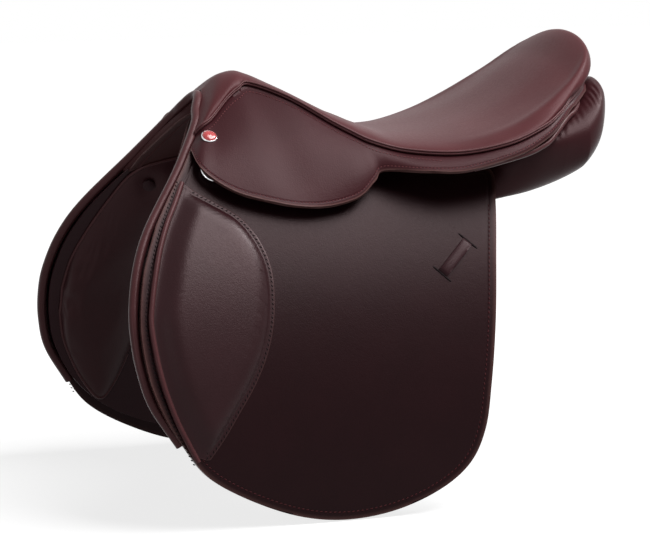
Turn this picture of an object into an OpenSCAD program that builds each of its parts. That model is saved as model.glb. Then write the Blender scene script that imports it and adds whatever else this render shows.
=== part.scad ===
// Close-contact jumping saddle.
// Millimetres. X runs back from head to cantle, the near side is -Y, Z is up.
// The origin lies on the median plane below the deepest point of the seat,
// at the level of the line on which the panels bear on the back.
// All side leather lies on one barrel, a cylinder along X for each side,
// so every layer is a shell of that barrel with its own radius.

/* [Barrel] */
// Radius of the barrel to the outer face of the flaps
barrel_radius = 490; // [470:1:510]
// Half width over the flaps at the widest point
flap_half_width = 206; // [200:1:212]
// Height at which the barrels of the two sides meet over the middle
barrel_crown = 111.3; // [106:0.1:117]

/* [Seat] */
// From the skirt stud back to the cantle, the seat size
seat_size = 432; // [407:1:457]
// Height of the pommel over the deepest point of the seat
pommel_rise = 58; // [52:1:63]
// Height of the cantle over the deepest point of the seat
cantle_rise = 89; // [81:1:97]
// Half width of the seat at its widest
seat_half_width = 143; // [138:1:150]
// Thickness of the seat leather
seat_leather = 2; // [1.6:0.1:2.6]
// Thickness of the foam under the seat leather
foam_depth = 9; // [6:0.5:11]
// Thickness of the piping between seat and skirt
welt_diameter = 4.4; // [3.6:0.1:5]

/* [Skirts] */
// Thickness of the skirt leather
skirt_leather = 3.5; // [2.8:0.1:4.2]
// Height of the line along which a skirt bends when it is lifted
skirt_bend = 30; // [27:0.5:32]
// Diameter of the stud on the skirt
stud_diameter = 15; // [10:0.5:18]

/* [Flaps] */
// Thickness of the flap leather
flap_leather = 4.5; // [3.5:0.1:5.5]
// Height of the line along which a flap bends when it is lifted
flap_bend = -12; // [-16:0.5:-9]
// Drop of the flap below the bearing line
flap_drop = 299; // [285:1:315]
// Depth of the knee pad
pad_depth = 11; // [6:0.5:14]
// Thickness of the piping in front of the knee pad
flap_welt_diameter = 4; // [3:0.5:5]
// Width of the keeper for the stirrup leather
keeper_width = 13; // [10:0.5:16]
// Length of the keeper between its slits
keeper_length = 48; // [40:1:56]
// Thickness of the keeper leather
keeper_leather = 2.5; // [1.8:0.1:3]

/* [Under the flaps] */
// Thickness of the sweat flap leather
sweat_leather = 3; // [2.4:0.1:3.6]
// Width of the rolled front edge
front_roll_width = 9; // [7:0.5:10]
// Depth of the rolled front edge, from the sweat flap outwards
front_roll_depth = 13; // [9:0.5:13.5]
// Width of a girth strap
strap_width = 25; // [20:1:30]
// Thickness of a girth strap
strap_leather = 4; // [3:0.1:4.6]
// Spacing of the girth straps
strap_pitch = 42; // [36:1:44]
// Lowest point of the girth straps
strap_drop = 215; // [190:1:235]
// Diameter of a buckle hole
strap_hole = 5; // [4:0.25:6]
// Spacing of the buckle holes
strap_hole_pitch = 25; // [20:1:27]
// Number of buckle holes in a strap
strap_holes = 8; // [4:1:8]
// Thickness of the buckle guard
guard_leather = 2.5; // [1.8:0.1:3]

/* [Panels] */
// Depth of the panels under the seat
panel_depth = 43; // [34:1:48]
// Depth of the panels below the points of the tree
knee_depth = 15; // [10:1:20]

/* [Tree] */
// Thickness of the tree's head
tree_wall = 10; // [8:0.5:11]
// Width of the tree's side rails
rail_width = 26; // [20:1:30]
// Thickness of the tree's side rails
rail_wall = 9; // [7:0.5:10]
// Thickness of the steel head and gullet plates
plate_wall = 1.5; // [1.2:0.1:1.8]
// Width of a seat web
web_width = 24; // [18:1:26]
// Thickness of the webs
web_wall = 2; // [1.5:0.1:2.4]

/* [Stirrup bars] */
// Diameter of the bar
bar_diameter = 9; // [8:0.5:10]
// Length of the bar that the stirrup leather hangs on
bar_length = 76; // [66:1:80]
// Clear gap behind the bar
bar_gap = 8; // [6:0.5:9]
// Thickness of the bar's base plate
bar_plate = 3; // [2.5:0.1:3.2]
// Diameter of the catch's pin
pin_diameter = 4; // [3:0.25:4.5]
// Thickness of the catch
catch_wall = 4; // [3:0.25:4.5]
// Length of the catch from its pin
catch_length = 24; // [18:1:26]

/* [Dees] */
// Diameter of the ring's wire
dee_wire = 3.6; // [3:0.2:4]
// Radius of the ring's bow at the wire's middle
dee_radius = 12; // [10:0.5:13]

/* [Hidden] */
$fn = 180;
// Gap between layers of leather that lie on each other
layer_gap = 0.3;
// Running clearance of a pin in its bore
run_gap = 0.05;
// Radii of the layers from the flap inwards
flap_in = barrel_radius - flap_leather;
guard_out = flap_in - 4 * layer_gap;
guard_in = guard_out - guard_leather;
strap_out = guard_in - layer_gap;
strap_in = strap_out - strap_leather;
web_out = strap_in - layer_gap;
web_in = web_out - web_wall;
tree_out = flap_in - bar_plate - 2 * layer_gap;
tree_in = tree_out - tree_wall;
bar_seat = tree_out + layer_gap;
sweat_out = tree_in - 2 * layer_gap;
sweat_in = sweat_out - sweat_leather;
panel_out = sweat_in - layer_gap;
gullet_out = tree_in - layer_gap;
gullet_in = gullet_out - plate_wall;
lining_out = gullet_in - layer_gap;
lining_wall = 2;
lining_in = lining_out - lining_wall;
// Distance of each barrel's axis beyond the median plane
barrel_axis = barrel_radius - flap_half_width;
// Height of the widest point of the barrel
barrel_level = barrel_crown - sqrt(pow(barrel_radius, 2) - pow(barrel_axis, 2));
// Height of the deepest point of the seat
seat_low = 66;
pommel_top = seat_low + pommel_rise;
cantle_top = seat_low + cantle_rise;
// Place of the stud, and the places behind which seat and panels stretch with the seat size
stud_x = -205;
cantle_back = 227;
twist_x = -40;
flap_back = 100;
function stretched(x, from) =
    x <= from ? x : from + (x - from) * (stud_x + seat_size - from) / (cantle_back - from);
// Places of the girth straps
strap_middle = -10;
function strap_x(i) = strap_middle + (i - 1) * strap_pitch;
// Room that the piping takes between the seat and the skirt
welt_room = welt_diameter / 2 + 1.9;

// Colours
seat_hide = "#5c3535";
skirt_hide = "#4d3032";
flap_hide = "#3c2628";
panel_hide = "#4a3431";
edge_hide = "#6e4a47";
strap_hide = "#33211f";
foam_tint = "#d9cba6";
wood_tint = "#b48c5c";
steel_tint = "#a9adb2";
web_tint = "#c9bea4";
stud_tint = "#8e2426";

// Curves
function lerp(a, b, t) = a + (b - a) * t;
function smooth(t) = let (c = max(0, min(1, t))) c * c * (3 - 2 * c);
function spline(p, u) =
    let (
        last = len(p) - 1,
        i = min(floor(u), last - 1),
        t = u - i,
        b = p[i],
        c = p[i + 1],
        a = i > 0 ? p[i - 1] : 2 * b - c,
        d = i + 2 <= last ? p[i + 2] : 2 * c - b
    )
    b + (c - a) * t / 2 + (2 * a - 5 * b + 4 * c - d) * t * t / 2
      + (3 * b - a - 3 * c + d) * t * t * t / 2;
function sampled(p, n) = [for (i = [0:n]) spline(p, i * (len(p) - 1) / n)];

// The barrel: half width at a height, and the slope of the leather there
function barrel_y(r, z) = sqrt(r * r - pow(z - barrel_level, 2)) - barrel_axis;
function barrel_angle(r, z) = asin((z - barrel_level) / r);
function over(lift, z) = barrel_y(barrel_radius + lift, z);

// Seat stations behind the twist stretch with the seat size, and so do panel rows, which
// stay behind the flaps
function aft(x) = stretched(x, twist_x);
function panel_aft(x) = max(aft(x), stretched(x, flap_back));

// Solids
module off_side() {
    mirror([0, 1, 0]) children();
}

module both_sides() {
    children();
    off_side() children();
}

// Places a flat piece on the near barrel, its Z outwards and its Y up the leather
module on_barrel(x, r, z) {
    translate([x, -barrel_y(r, z), z]) rotate([90 - barrel_angle(r, z), 0, 0]) children();
}

// A sheet of one barrel layer, cut to an outline in X and Z
module barrel_sheet(outline, r_in, r_out) {
    reach = 2 * flap_half_width;
    length = 1200;
    intersection() {
        translate([0, barrel_axis, barrel_level]) rotate([0, 90, 0]) difference() {
            cylinder(r = r_out, h = length, center = true);
            cylinder(r = r_in, h = length + 2, center = true);
        }
        rotate([90, 0, 0]) linear_extrude(height = reach) polygon(outline);
    }
}

// A closed sheet between two grids of points, whose first grid shows its rows
// and columns clockwise from outside
module shell(outer, inner) {
    m = len(outer);
    n = len(outer[0]);
    o = m * n;
    points = concat([for (r = outer) each r], [for (r = inner) each r]);
    faces = concat(
        [for (i = [0:m - 2], j = [0:n - 2]) each [
            [i * n + j, i * n + j + 1, (i + 1) * n + j + 1],
            [i * n + j, (i + 1) * n + j + 1, (i + 1) * n + j]]],
        [for (i = [0:m - 2], j = [0:n - 2]) each [
            [o + i * n + j, o + (i + 1) * n + j + 1, o + i * n + j + 1],
            [o + i * n + j, o + (i + 1) * n + j, o + (i + 1) * n + j + 1]]],
        [for (i = [0:m - 2]) each [
            [i * n, (i + 1) * n, o + (i + 1) * n],
            [i * n, o + (i + 1) * n, o + i * n]]],
        [for (i = [0:m - 2]) each [
            [i * n + n - 1, o + (i + 1) * n + n - 1, (i + 1) * n + n - 1],
            [i * n + n - 1, o + i * n + n - 1, o + (i + 1) * n + n - 1]]],
        [for (j = [0:n - 2]) each [
            [j, o + j + 1, j + 1],
            [j, o + j, o + j + 1]]],
        [for (j = [0:n - 2]) each [
            [(m - 1) * n + j, (m - 1) * n + j + 1, o + (m - 1) * n + j + 1],
            [(m - 1) * n + j, o + (m - 1) * n + j + 1, o + (m - 1) * n + j]]]
    );
    polyhedron(points, faces);
}

// Rings of points joined into a rod with closed ends
module rod(rings) {
    m = len(rings);
    n = len(rings[0]);
    points = [for (r = rings) each r];
    faces = concat(
        [for (i = [0:m - 2], j = [0:n - 1]) each [
            [i * n + j, (i + 1) * n + (j + 1) % n, (i + 1) * n + j],
            [i * n + j, i * n + (j + 1) % n, (i + 1) * n + (j + 1) % n]]],
        [[for (j = [n - 1:-1:0]) j]],
        [[for (j = [0:n - 1]) (m - 1) * n + j]]
    );
    polyhedron(points, faces);
}

function unit(v) = v / norm(v);

// Turns a revolved piece from Z to a direction
module facing(v) {
    n = unit(v);
    rotate([0, acos(n.z), atan2(n.y, n.x)]) children();
}

function heading(path, i) = unit(path[min(i + 1, len(path) - 1)] - path[max(i - 1, 0)]);

// Sections of width w and height h along a path, laid out from a reference direction
function sections(path, w, h, reference, sides) = [
    for (i = [0:len(path) - 1])
        let (
            t = heading(path, i),
            a = unit(cross(t, reference)),
            b = cross(a, t)
        )
        [for (k = [0:sides - 1])
            let (q = 360 * (k + 0.5) / sides)
            path[i] + a * w / 2 * cos(q) + b * h / 2 * sin(q)]
];

module piping(path, diameter, reference, sides) {
    rod(sections(path, diameter, diameter, reference, sides));
}

// Where the stirrup bar's base plate lies on the tree, and the bar's height above it
bar_x = -117;
bar_z = 16;
bar_height = bar_plate + bar_gap + bar_diameter / 2;

// Seat and skirt are set out together, in stations from the front to the cantle.
// Each station has the welt line (x, y, z), the seat's middle (x, z), the seat's
// roundness (height, plan, fullness), the skirt's edge (x, y, z) and the skirt's swell.
side_gain = seat_half_width - 143;
// Half width over the bars, and the one the swell is set for: past it the skirts swell more
bar_out = over(bar_seat + bar_height + bar_diameter / 2 - barrel_radius, bar_z);
bar_out_set = 115.7;
bar_gain = max(0, bar_out - bar_out_set);
stations = [
    [-217, over(6.5, 62), 62, -182, pommel_top - 20, 1.3, 1.3, 1, -221, over(9.5, 54), 54, 1],
    [-204, over(7, 69), 69, -170, pommel_top - 7, 1.5, 1.5, 0.9, -219, over(12, 41), 41, 3],
    [-192, over(7, 76), 76, -160, pommel_top - 1, 1.8, 1.8, 0.75, -208, over(15, 27), 27, 5],
    [-172, over(10, 94), 94, -150, pommel_top, 2, 2, 0.6, -187, over(16, 15), 15, 8 + bar_gain / 3],
    [-157, over(13, 107), 107, -140, pommel_top - 3, 2, 2, 0.55, -159, over(17, 7), 7, 10 + bar_gain],
    [-143, 24, 112, -130, pommel_top - 7, 2, 2, 0.5, -129, over(17, 1), 1, 10 + bar_gain],
    [-110, 48, 99, -106, 105, 2.2, 2, 0.5, -98, over(17, 0), 0, 10 + bar_gain],
    [-75, 78, 76, -72, 87, 2.2, 2, 0.5, -65, over(18, 7), 7, 8 + bar_gain],
    [-58, 90, 66, -55, 79, 2.2, 2, 0.5, -45, over(21, 22), 22, 5],
    [twist_x, 101, 57, aft(-36), 72, 2.4, 2, 0.55, aft(-34), over(23, 30.5), 30.5, 3],
    [aft(-8), 114 + side_gain / 2, 48, aft(-4), seat_low, 2.6, 2, 0.6, aft(4), 136 + side_gain, 30.5, 2],
    [aft(42), 134 + side_gain, 46, aft(45), seat_low + 1, 2.6, 2, 0.6, aft(43), 148 + side_gain, 30.5, 2],
    [aft(91), 143 + side_gain, 55, aft(95), seat_low + 12, 2.6, 2.5, 0.6, aft(98), 151 + side_gain, 44, 2],
    [aft(128), 139 + side_gain, 69, aft(138), 97, 2.4, 3, 0.6, aft(132), 143 + side_gain, 58, 2],
    [aft(150), 128 + side_gain, 80, aft(180), 130, 2.2, 3.5, 0.6, aft(153), 130 + side_gain, 70, 1.5],
    [aft(164), 116 + side_gain, 88, aft(207), cantle_top, 2, 3.5, 0.55, aft(167), 118 + side_gain, 80, 1],
    [aft(169), 110 + side_gain, 92, aft(223), 138, 2, 3, 0.5, aft(172), 112 + side_gain, 85, 1],
    [aft(172), 106 + side_gain, 95, aft(219), 112, 2, 2.4, 0.5, aft(175), 108 + side_gain, 88, 1]
];
last_station = len(stations) - 1;
function station(u) = spline(stations, u);

// Point of the seat at station u, from the near welt (-1) to the off welt (1)
function seat_at(u, t) =
    let (
        s = station(u),
        f = abs(t),
        rise = pow(max(0, 1 - pow(f, s[5])), s[7]),
        run = pow(max(0, 1 - pow(f, s[6])), s[7])
    )
    [lerp(s[0], s[3], run), s[1] * t, lerp(s[2] + welt_room, s[4], rise)];
function seat_normal(u, t) =
    let (
        du = 0.05,
        dt = 0.02,
        a = seat_at(min(last_station, u + du), t) - seat_at(max(0, u - du), t),
        b = seat_at(u, min(1, t + dt)) - seat_at(u, max(-1, t - dt))
    )
    unit(cross(a, b));
// Grid between two stations, over so many columns each side of the middle
seat_columns = 8;
function seat_grid(depth, from, to, columns) = [
    for (u = [from:0.5:to])
        [for (j = [-columns:columns])
            let (t = sin(88 * j / seat_columns))
            seat_at(u, t) - seat_normal(u, t) * depth]
];

module seat_cover() {
    color(seat_hide) shell(
        seat_grid(0, 0, last_station, seat_columns),
        seat_grid(seat_leather, 0, last_station, seat_columns)
    );
}

// The foam stops short of the leather's edges
foam_top = seat_leather + 2 * layer_gap;
foam_low = foam_top + foam_depth;
foam_from = 1.5;
foam_to = last_station - 2;

module seat_foam() {
    color(foam_tint) shell(
        seat_grid(foam_top, foam_from, foam_to, seat_columns - 3),
        seat_grid(foam_low, foam_from, foam_to, seat_columns - 3)
    );
}

// Welt line from the front of the skirt round to the middle of the cantle's back
function welt_at(s) =
    s <= 1
    ? let (w = station(s * last_station)) [w[0], -w[1], w[2]]
    : seat_at(last_station, s - 2) - [0, 0, welt_room];
function skirt_edge_at(s) =
    s <= 1
    ? let (w = station(s * last_station)) [w[8], -w[9], w[10]]
    : let (w = welt_at(s), e = station(last_station)) w + [3, 0, e[10] - e[2]];
function swell_at(s) = station(min(1, s) * last_station)[11];
skirt_end = 1.985;

// Point of a skirt from its welt (0) to its edge (1), in from its outer face by depth
function skirt_at(s, v, depth) =
    let (
        w = welt_at(s) - [0, 0, welt_room],
        e = skirt_edge_at(s),
        ds = 0.01,
        along = welt_at(min(skirt_end, s + ds)) - welt_at(max(0, s - ds)),
        p = lerp(w, e, v) - [0, swell_at(s) * 4 * v * (1 - v), 0]
    )
    p - unit(cross(e - w, along)) * depth;
function bend_at(s) =
    let (top = welt_at(s).z - welt_room, low = skirt_edge_at(s).z)
    low >= skirt_bend ? 1 : (top - skirt_bend) / (top - low);

module seat_welt() {
    rings = 48;
    path = [for (i = [0:rings]) welt_at(skirt_end * i / rings)];
    color(edge_hide) piping(path, welt_diameter, [0, 0, 1], 6);
}

skirt_rings = 48;
function skirt_top_grid(depth) = [
    for (i = [0:skirt_rings])
        let (s = skirt_end * i / skirt_rings)
        [for (j = [0:4]) skirt_at(s, bend_at(s) * j / 4, depth)]
];

module skirt_top() {
    color(skirt_hide) shell(skirt_top_grid(skirt_leather), skirt_top_grid(0));
}

// The part of the skirt that lifts lies below the bend, over the stirrup bar
skirt_from = 2.25 / last_station;
skirt_to = 8.6 / last_station;
function skirt_grid(depth) = [
    for (i = [0:28])
        let (
            s = lerp(skirt_from, skirt_to, i / 28),
            top = welt_at(s).z - welt_room,
            low = skirt_edge_at(s).z,
            start = (top - skirt_bend + 2 * layer_gap) / (top - low)
        )
        [for (j = [0:4]) skirt_at(s, lerp(start, 1, j / 4), depth)]
];

module skirt() {
    color(skirt_hide) shell(skirt_grid(skirt_leather), skirt_grid(0));
}

// Domed stud at the front of each skirt
module skirt_studs() {
    s = 1.45 / last_station;
    v = 0.24;
    ds = 0.01;
    dv = 0.05;
    along = skirt_at(s + ds, v, 0) - skirt_at(s - ds, v, 0);
    down = skirt_at(s, v + dv, 0) - skirt_at(s, v - dv, 0);
    dome = stud_diameter * 0.75;
    height = stud_diameter / 4;
    color(stud_tint) both_sides() translate(skirt_at(s, v, 0)) facing(cross(down, along))
        translate([0, 0, 2 * layer_gap]) intersection() {
            translate([0, 0, height - dome]) sphere(r = dome);
            cylinder(d = stud_diameter, h = stud_diameter);
        }
}

// Tree: a head arch with points and a seat for the bars, and a rail round to the cantle
head_back = strap_x(0) - strap_width / 2 - 1.5;
head_outline = [
    [-165, 120], [-199, 68], [-222, 34], [-246, -18], [-238, -25], [-226, -22], [-206, 6],
    [head_back - 16, 6], [head_back - 2, 14], [head_back, 30], [head_back - 10, 44], [-141, 50], [-141, 75],
    [-122, 120]
];
plate_outline = [
    [-166, 110], [-202, 62], [-219, 34], [-208, 26], [-186, 50], [-158, 62], [-150, 110]
];
rivet_places = [[-208, 44], [-192, 62], [-170, 74]];
rivet_diameter = 5;

// Rods through the layers at places on the tree's outer face, between two radii
module radial_pins(places, diameter, r_in, r_out) {
    for (p = places)
        on_barrel(p.x, bar_seat, p.y) translate([0, 0, r_in - bar_seat])
            cylinder(d = diameter, h = r_out - r_in, $fn = 32);
}

module drilled(places, diameter) {
    difference() {
        children();
        radial_pins(places, diameter, gullet_in - 3, flap_in + 3);
    }
}

bar_plate_length = 96;
bar_plate_width = 20;
bar_rivet_reach = 34;
bar_rivet_places = [for (s = [-1, 1]) [bar_x + s * bar_rivet_reach, bar_z]];

module tree_head() {
    color(wood_tint) both_sides()
        drilled(concat(rivet_places, bar_rivet_places), rivet_diameter + 2 * run_gap)
            barrel_sheet(head_outline, tree_in, tree_out);
}

module head_plate() {
    color(steel_tint) both_sides() drilled(rivet_places, rivet_diameter + 2 * run_gap)
        barrel_sheet(plate_outline, bar_seat, bar_seat + plate_wall);
}

module gullet_plate() {
    color(steel_tint) both_sides() drilled(rivet_places, rivet_diameter + 2 * run_gap)
        barrel_sheet(plate_outline, gullet_in, gullet_out);
}

module tree_rivets() {
    color(steel_tint) both_sides()
        radial_pins(rivet_places, rivet_diameter, gullet_in, flap_in - layer_gap);
}

// Height of the rails' underside at its lowest
rail_low = 42;
// Side rail: its front as points, its rear as places under the seat (station, share
// of the half width) with the room that is left below the foam
function inside_flap(z, room) = barrel_y(flap_in, z) - rail_width / 2 - room;
rail_front = [[-138, inside_flap(64, 1.4), 64], [-110, inside_flap(58, 5.6), 58], [-50, 54, 50],
    [aft(20), 76, rail_low + rail_wall / 2], [aft(80), 94, 49.5]];
rail_rear = [[12.65, 0.73, 4.4], [13.3, 0.63, 2.9], [13.75, 0.46, 3.9], [14, 0.25, 6.4], [14.05, 0, 6.9]];
// The rail keeps its distance from the cantle's back when the seat size changes
rail_back = 198;
rail_shift = aft(cantle_back) - aft(rail_back) - (cantle_back - rail_back);
function under_foam(u, t, room) =
    seat_at(u, t) - seat_normal(u, t) * (foam_low + rail_wall / 2 + room)
    + [1, 0, 1.2] * rail_shift * (1 - t);
rail_line = concat(rail_front, [for (q = rail_rear) under_foam(q[0], q[1], q[2])]);

module tree_rail() {
    near = sampled([for (p = rail_line) [p.x, -p.y, p.z]], 24);
    off = [for (i = [len(near) - 2:-1:0]) [near[i].x, -near[i].y, near[i].z]];
    color(wood_tint) rod(sections(concat(near, off), rail_width, rail_wall, [-0.25, 0, 1], 8));
}

// Two webs from the head to the cantle carry the foam
web_inset = 2;
function web_grid(depth) = [
    for (u = [5.5:0.5:14.5])
        [for (y = [web_inset, web_inset + web_width / 2, web_inset + web_width])
            let (t = y / station(u)[1])
            seat_at(u, t) - seat_normal(u, t) * depth]
];

module seat_webs() {
    web_drop = foam_low + 2 * layer_gap;
    color(web_tint) both_sides() shell(web_grid(web_drop), web_grid(web_drop + web_wall));
}

// Stirrup bar: base plate, front arm, bar and a forked end that holds the catch
fork_length = 15;
fork_width = bar_diameter + 2;
fork_height = catch_wall + 7;
fork_slot = catch_wall + 4 * run_gap;
bar_front = -bar_length / 2;
bar_back = bar_length / 2 - fork_length / 2;
pin_x = bar_back + fork_length / 2;
catch_round = fork_width / 2 - 0.4;

module at_bar() {
    on_barrel(bar_x, bar_seat, bar_z) children();
}

module stirrup_bar() {
    end_round = bar_plate_width / 2;
    plate_half = bar_plate_length / 2 - end_round;
    color(steel_tint) at_bar() difference() {
        union() {
            linear_extrude(height = bar_plate) {
                square([2 * plate_half, bar_plate_width], center = true);
                for (s = [-1, 1]) translate([s * plate_half, 0]) circle(r = end_round, $fn = 48);
            }
            translate([bar_front, 0, bar_plate / 2])
                cylinder(d = bar_diameter, h = bar_height - bar_plate / 2, $fn = 48);
            translate([bar_front, 0, bar_height]) sphere(d = bar_diameter, $fn = 48);
            translate([bar_front, 0, bar_height]) rotate([0, 90, 0])
                cylinder(d = bar_diameter, h = bar_back - bar_front + 1, $fn = 48);
            translate([bar_back, -fork_width / 2, bar_height - fork_height / 2])
                cube([fork_length / 2, fork_width, fork_height]);
            translate([pin_x, 0, bar_height - fork_height / 2])
                cylinder(d = fork_width, h = fork_height, $fn = 48);
        }
        translate([pin_x - catch_round - 0.4, -fork_width, bar_height - fork_slot / 2])
            cube([fork_length, 2 * fork_width, fork_slot]);
        translate([pin_x, 0, 0]) cylinder(d = pin_diameter, h = 2 * bar_height, $fn = 32);
        for (s = [-1, 1]) translate([s * bar_rivet_reach, 0, -1])
            cylinder(d = rivet_diameter + 2 * run_gap, h = bar_plate + 2, $fn = 32);
    }
}

module bar_rivets() {
    color(steel_tint) both_sides()
        radial_pins(bar_rivet_places, rivet_diameter, tree_in, bar_seat + bar_plate);
}

module catch_pin() {
    color(steel_tint) at_bar() translate([pin_x, 0, bar_height - fork_height / 2])
        cylinder(d = pin_diameter, h = fork_height, $fn = 32);
}

module bar_catch() {
    thumb = catch_round * 0.9;
    color(steel_tint) at_bar() translate([pin_x, 0, bar_height - catch_wall / 2]) difference() {
        linear_extrude(height = catch_wall) {
            circle(r = catch_round, $fn = 48);
            translate([0, -catch_round * 0.7]) square([catch_length - thumb, catch_round * 1.4]);
            translate([catch_length - thumb, 0]) circle(r = thumb, $fn = 48);
        }
        translate([0, 0, -1])
            cylinder(d = pin_diameter + 2 * run_gap, h = catch_wall + 2, $fn = 32);
    }
}

// Flap: a head that is nailed to the tree, with a cut-out for the bar, and the flap that lifts
flap_front = [[-273, flap_bend], [-293, -52], [-303, -90], [-305, -122], [-300, -158], [-288, -190]];
flap_foot = [[-272, -217], [-250, -246], [-212, -270], [-160, 8 - flap_drop], [-110, -flap_drop],
    [-58, 5 - flap_drop], [-10, 22 - flap_drop], [23, -253], [41, -220]];
flap_rear = [[51, -175], [62, -120], [74, -60], [86, flap_bend]];
flap_line = sampled(concat(flap_front, flap_foot, flap_rear), 102);
flap_head_outline = [
    [-273, flap_bend], [-257, 9], [-235, 35], [-212, 62], [-190, 74], [-165, 74], [-120, 56], [-60, 40],
    [0, 31], [50, 26], [92, 24], [86, flap_bend]
];
cut_margin = 4;
cut_rear = 12;
cut_round = 8;

module flap_head() {
    cut_x = bar_plate_length + cut_margin + cut_rear;
    cut_y = bar_plate_width + 2 * cut_margin;
    color(flap_hide) difference() {
        barrel_sheet(flap_head_outline, flap_in, barrel_radius);
        at_bar() translate([(cut_rear - cut_margin) / 2, 0, -tree_wall])
            linear_extrude(height = 3 * tree_wall) {
                square([cut_x - 2 * cut_round, cut_y], center = true);
                square([cut_x, cut_y - 2 * cut_round], center = true);
                for (a = [-1, 1], b = [-1, 1])
                    translate([a * (cut_x / 2 - cut_round), b * (cut_y / 2 - cut_round)])
                        circle(r = cut_round, $fn = 48);
            }
    }
}

// Keeper for the end of the stirrup leather, with a slit at each end
keeper_x = 30;
keeper_z = -56;
keeper_turn = 44;
slit_gap = 0.6;

module at_keeper() {
    on_barrel(keeper_x, barrel_radius, keeper_z) rotate([0, 0, keeper_turn]) children();
}

keeper_below = 0.7;

module keeper_ends(thickness, width, height) {
    for (s = [-1, 1])
        translate([s * (keeper_length - keeper_leather) / 2, 0, height / 2 - flap_leather - keeper_below])
            cube([thickness, width, height], center = true);
}

module flap() {
    outline = [for (p = flap_line) [p.x, min(p.y, flap_bend - layer_gap)]];
    color(flap_hide) difference() {
        barrel_sheet(outline, flap_in, barrel_radius);
        at_keeper()
            keeper_ends(keeper_leather + 2 * slit_gap, keeper_width + 2 * slit_gap, 2 * flap_leather);
    }
}

module leather_keeper() {
    rest = 0.8;
    color(strap_hide) at_keeper() {
        keeper_ends(keeper_leather, keeper_width, flap_leather + keeper_below + rest + keeper_leather);
        translate([-keeper_length / 2, -keeper_width / 2, rest])
            cube([keeper_length, keeper_width, keeper_leather]);
    }
}

// Knee pad on the front of the flap, as rows of height, front edge and rear edge
pad_rows = [
    [flap_bend - 3, -261, -184], [-38, -273, -170], [-65, -283, -165], [-107, -292, -171], [-135, -290, -181],
    [-162, -285, -196], [-190, -276, -216], [-212, -266, -232], [-230, -256, -247]
];
function pad_fullness(a) = pow(max(0, 1 - pow(abs(2 * a - 1), 3)), 0.6);
function pad_grid(filled) = [
    for (i = [0:16])
        let (row = spline(pad_rows, i * (len(pad_rows) - 1) / 16), z = row[0])
        [for (j = [0:12])
            let (
                a = j / 12,
                full = pad_depth * pad_fullness(a) * pad_fullness(lerp(0.04, 0.96, i / 16)),
                r = barrel_radius + layer_gap + filled * (0.6 + full)
            )
            [lerp(row[1], row[2], a), -barrel_y(r, z), z]]
];

module knee_pad() {
    color(flap_hide) shell(pad_grid(1), pad_grid(0));
}

// Piping along the front of the knee pad
module flap_welt() {
    front = sampled([for (r = pad_rows) [r[1], r[0]]], 26);
    r = barrel_radius + layer_gap + flap_welt_diameter / 2;
    path = [for (p = front) [p.x - flap_welt_diameter / 2 - layer_gap, -barrel_y(r, p.y), p.y]];
    color(edge_hide) piping(path, flap_welt_diameter, [1, 0, 0], 6);
}

// Dee ring and its clip under the front of the skirt
dee_x = -203;
dee_z = 32;
dee_turn = -66;
clip_wall = 1.2;
dee_height = dee_wire / 2 + clip_wall + 0.4;

module at_dee() {
    on_barrel(dee_x, barrel_radius, dee_z) rotate([0, 0, dee_turn]) children();
}

module dee_clip() {
    tube = dee_wire + 2 * run_gap + 2 * clip_wall;
    width = 12;
    color(steel_tint) at_dee() difference() {
        union() {
            translate([-width / 2, 0, dee_height]) rotate([0, 90, 0])
                cylinder(d = tube, h = width, $fn = 48);
            translate([-width / 2, 0, 0.4]) cube([width, 18, clip_wall]);
        }
        translate([-width, 0, dee_height]) rotate([0, 90, 0])
            cylinder(d = dee_wire + 2 * run_gap, h = 2 * width, $fn = 48);
    }
}

module dee_ring() {
    color(steel_tint) at_dee() translate([0, 0, dee_height]) {
        rotate([0, 90, 0]) cylinder(d = dee_wire, h = 2 * dee_radius, center = true, $fn = 48);
        rotate([0, 0, 180]) rotate_extrude(angle = 180, $fn = 96)
            translate([dee_radius, 0]) circle(d = dee_wire, $fn = 48);
        for (s = [-1, 1]) translate([s * dee_radius, 0, 0]) sphere(d = dee_wire, $fn = 48);
    }
}

// Sweat flap under the flap, and the rolled edge that runs over the pommel and down both fronts
sweat_front = [[-242, 20], [-272, -18], [-291, -53], [-301, -89], [-303, -118], [-300, -148], [-291, -179],
    [-268, -217]];
sweat_foot = [[-235, -246], [-190, -267], [-140, -278], [-80, -279], [-30, -263], [5, -234]];
sweat_rear = [[28, -190], [45, -120], [61, -50], [70, 8]];
sweat_line = sampled(concat(sweat_front, sweat_foot, sweat_rear), 90);

module sweat_flap() {
    outline = concat(sweat_line, [[60, 20], [-60, 24], [-210, 22]]);
    color(strap_hide) barrel_sheet(outline, sweat_in, sweat_out);
}

front_line = [
    [-187, 97.5], [-190, 93.5], [-206, 74], [-235, 34], [-277, -18], [-296, -53], [-306, -89], [-308, -118],
    [-305, -148], [-296, -179], [-272, -217]
];

module front_welt() {
    mid = sweat_out + layer_gap + front_roll_depth / 2;
    edge = [for (p = front_line) [p.x, -max(0, barrel_y(mid, p.y)), p.y]];
    near = sampled(edge, 34);
    off = [for (i = [1:len(near) - 1]) [near[i].x, -near[i].y, near[i].z]];
    path = concat([for (i = [len(near) - 1:-1:0]) near[i]], off);
    color(edge_hide) rod(sections(path, front_roll_depth, front_roll_width, [1, 0, 0], 8));
}

// Pocket on the sweat flap that takes the point of the tree
module point_pocket() {
    wall = 2;
    room = 0.5;
    outer = [[-240, 4], [-254, -20], [-240, -34], [-222, -30], [-206, 2]];
    inner = [[-237, 10], [-249.5, -18], [-239.5, -28.5], [-223.5, -25.5], [-203, 10]];
    color(strap_hide) difference() {
        barrel_sheet(outer, sweat_out + layer_gap, tree_out + room + wall);
        barrel_sheet(inner, sweat_out - 2, tree_out + room);
    }
}

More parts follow.
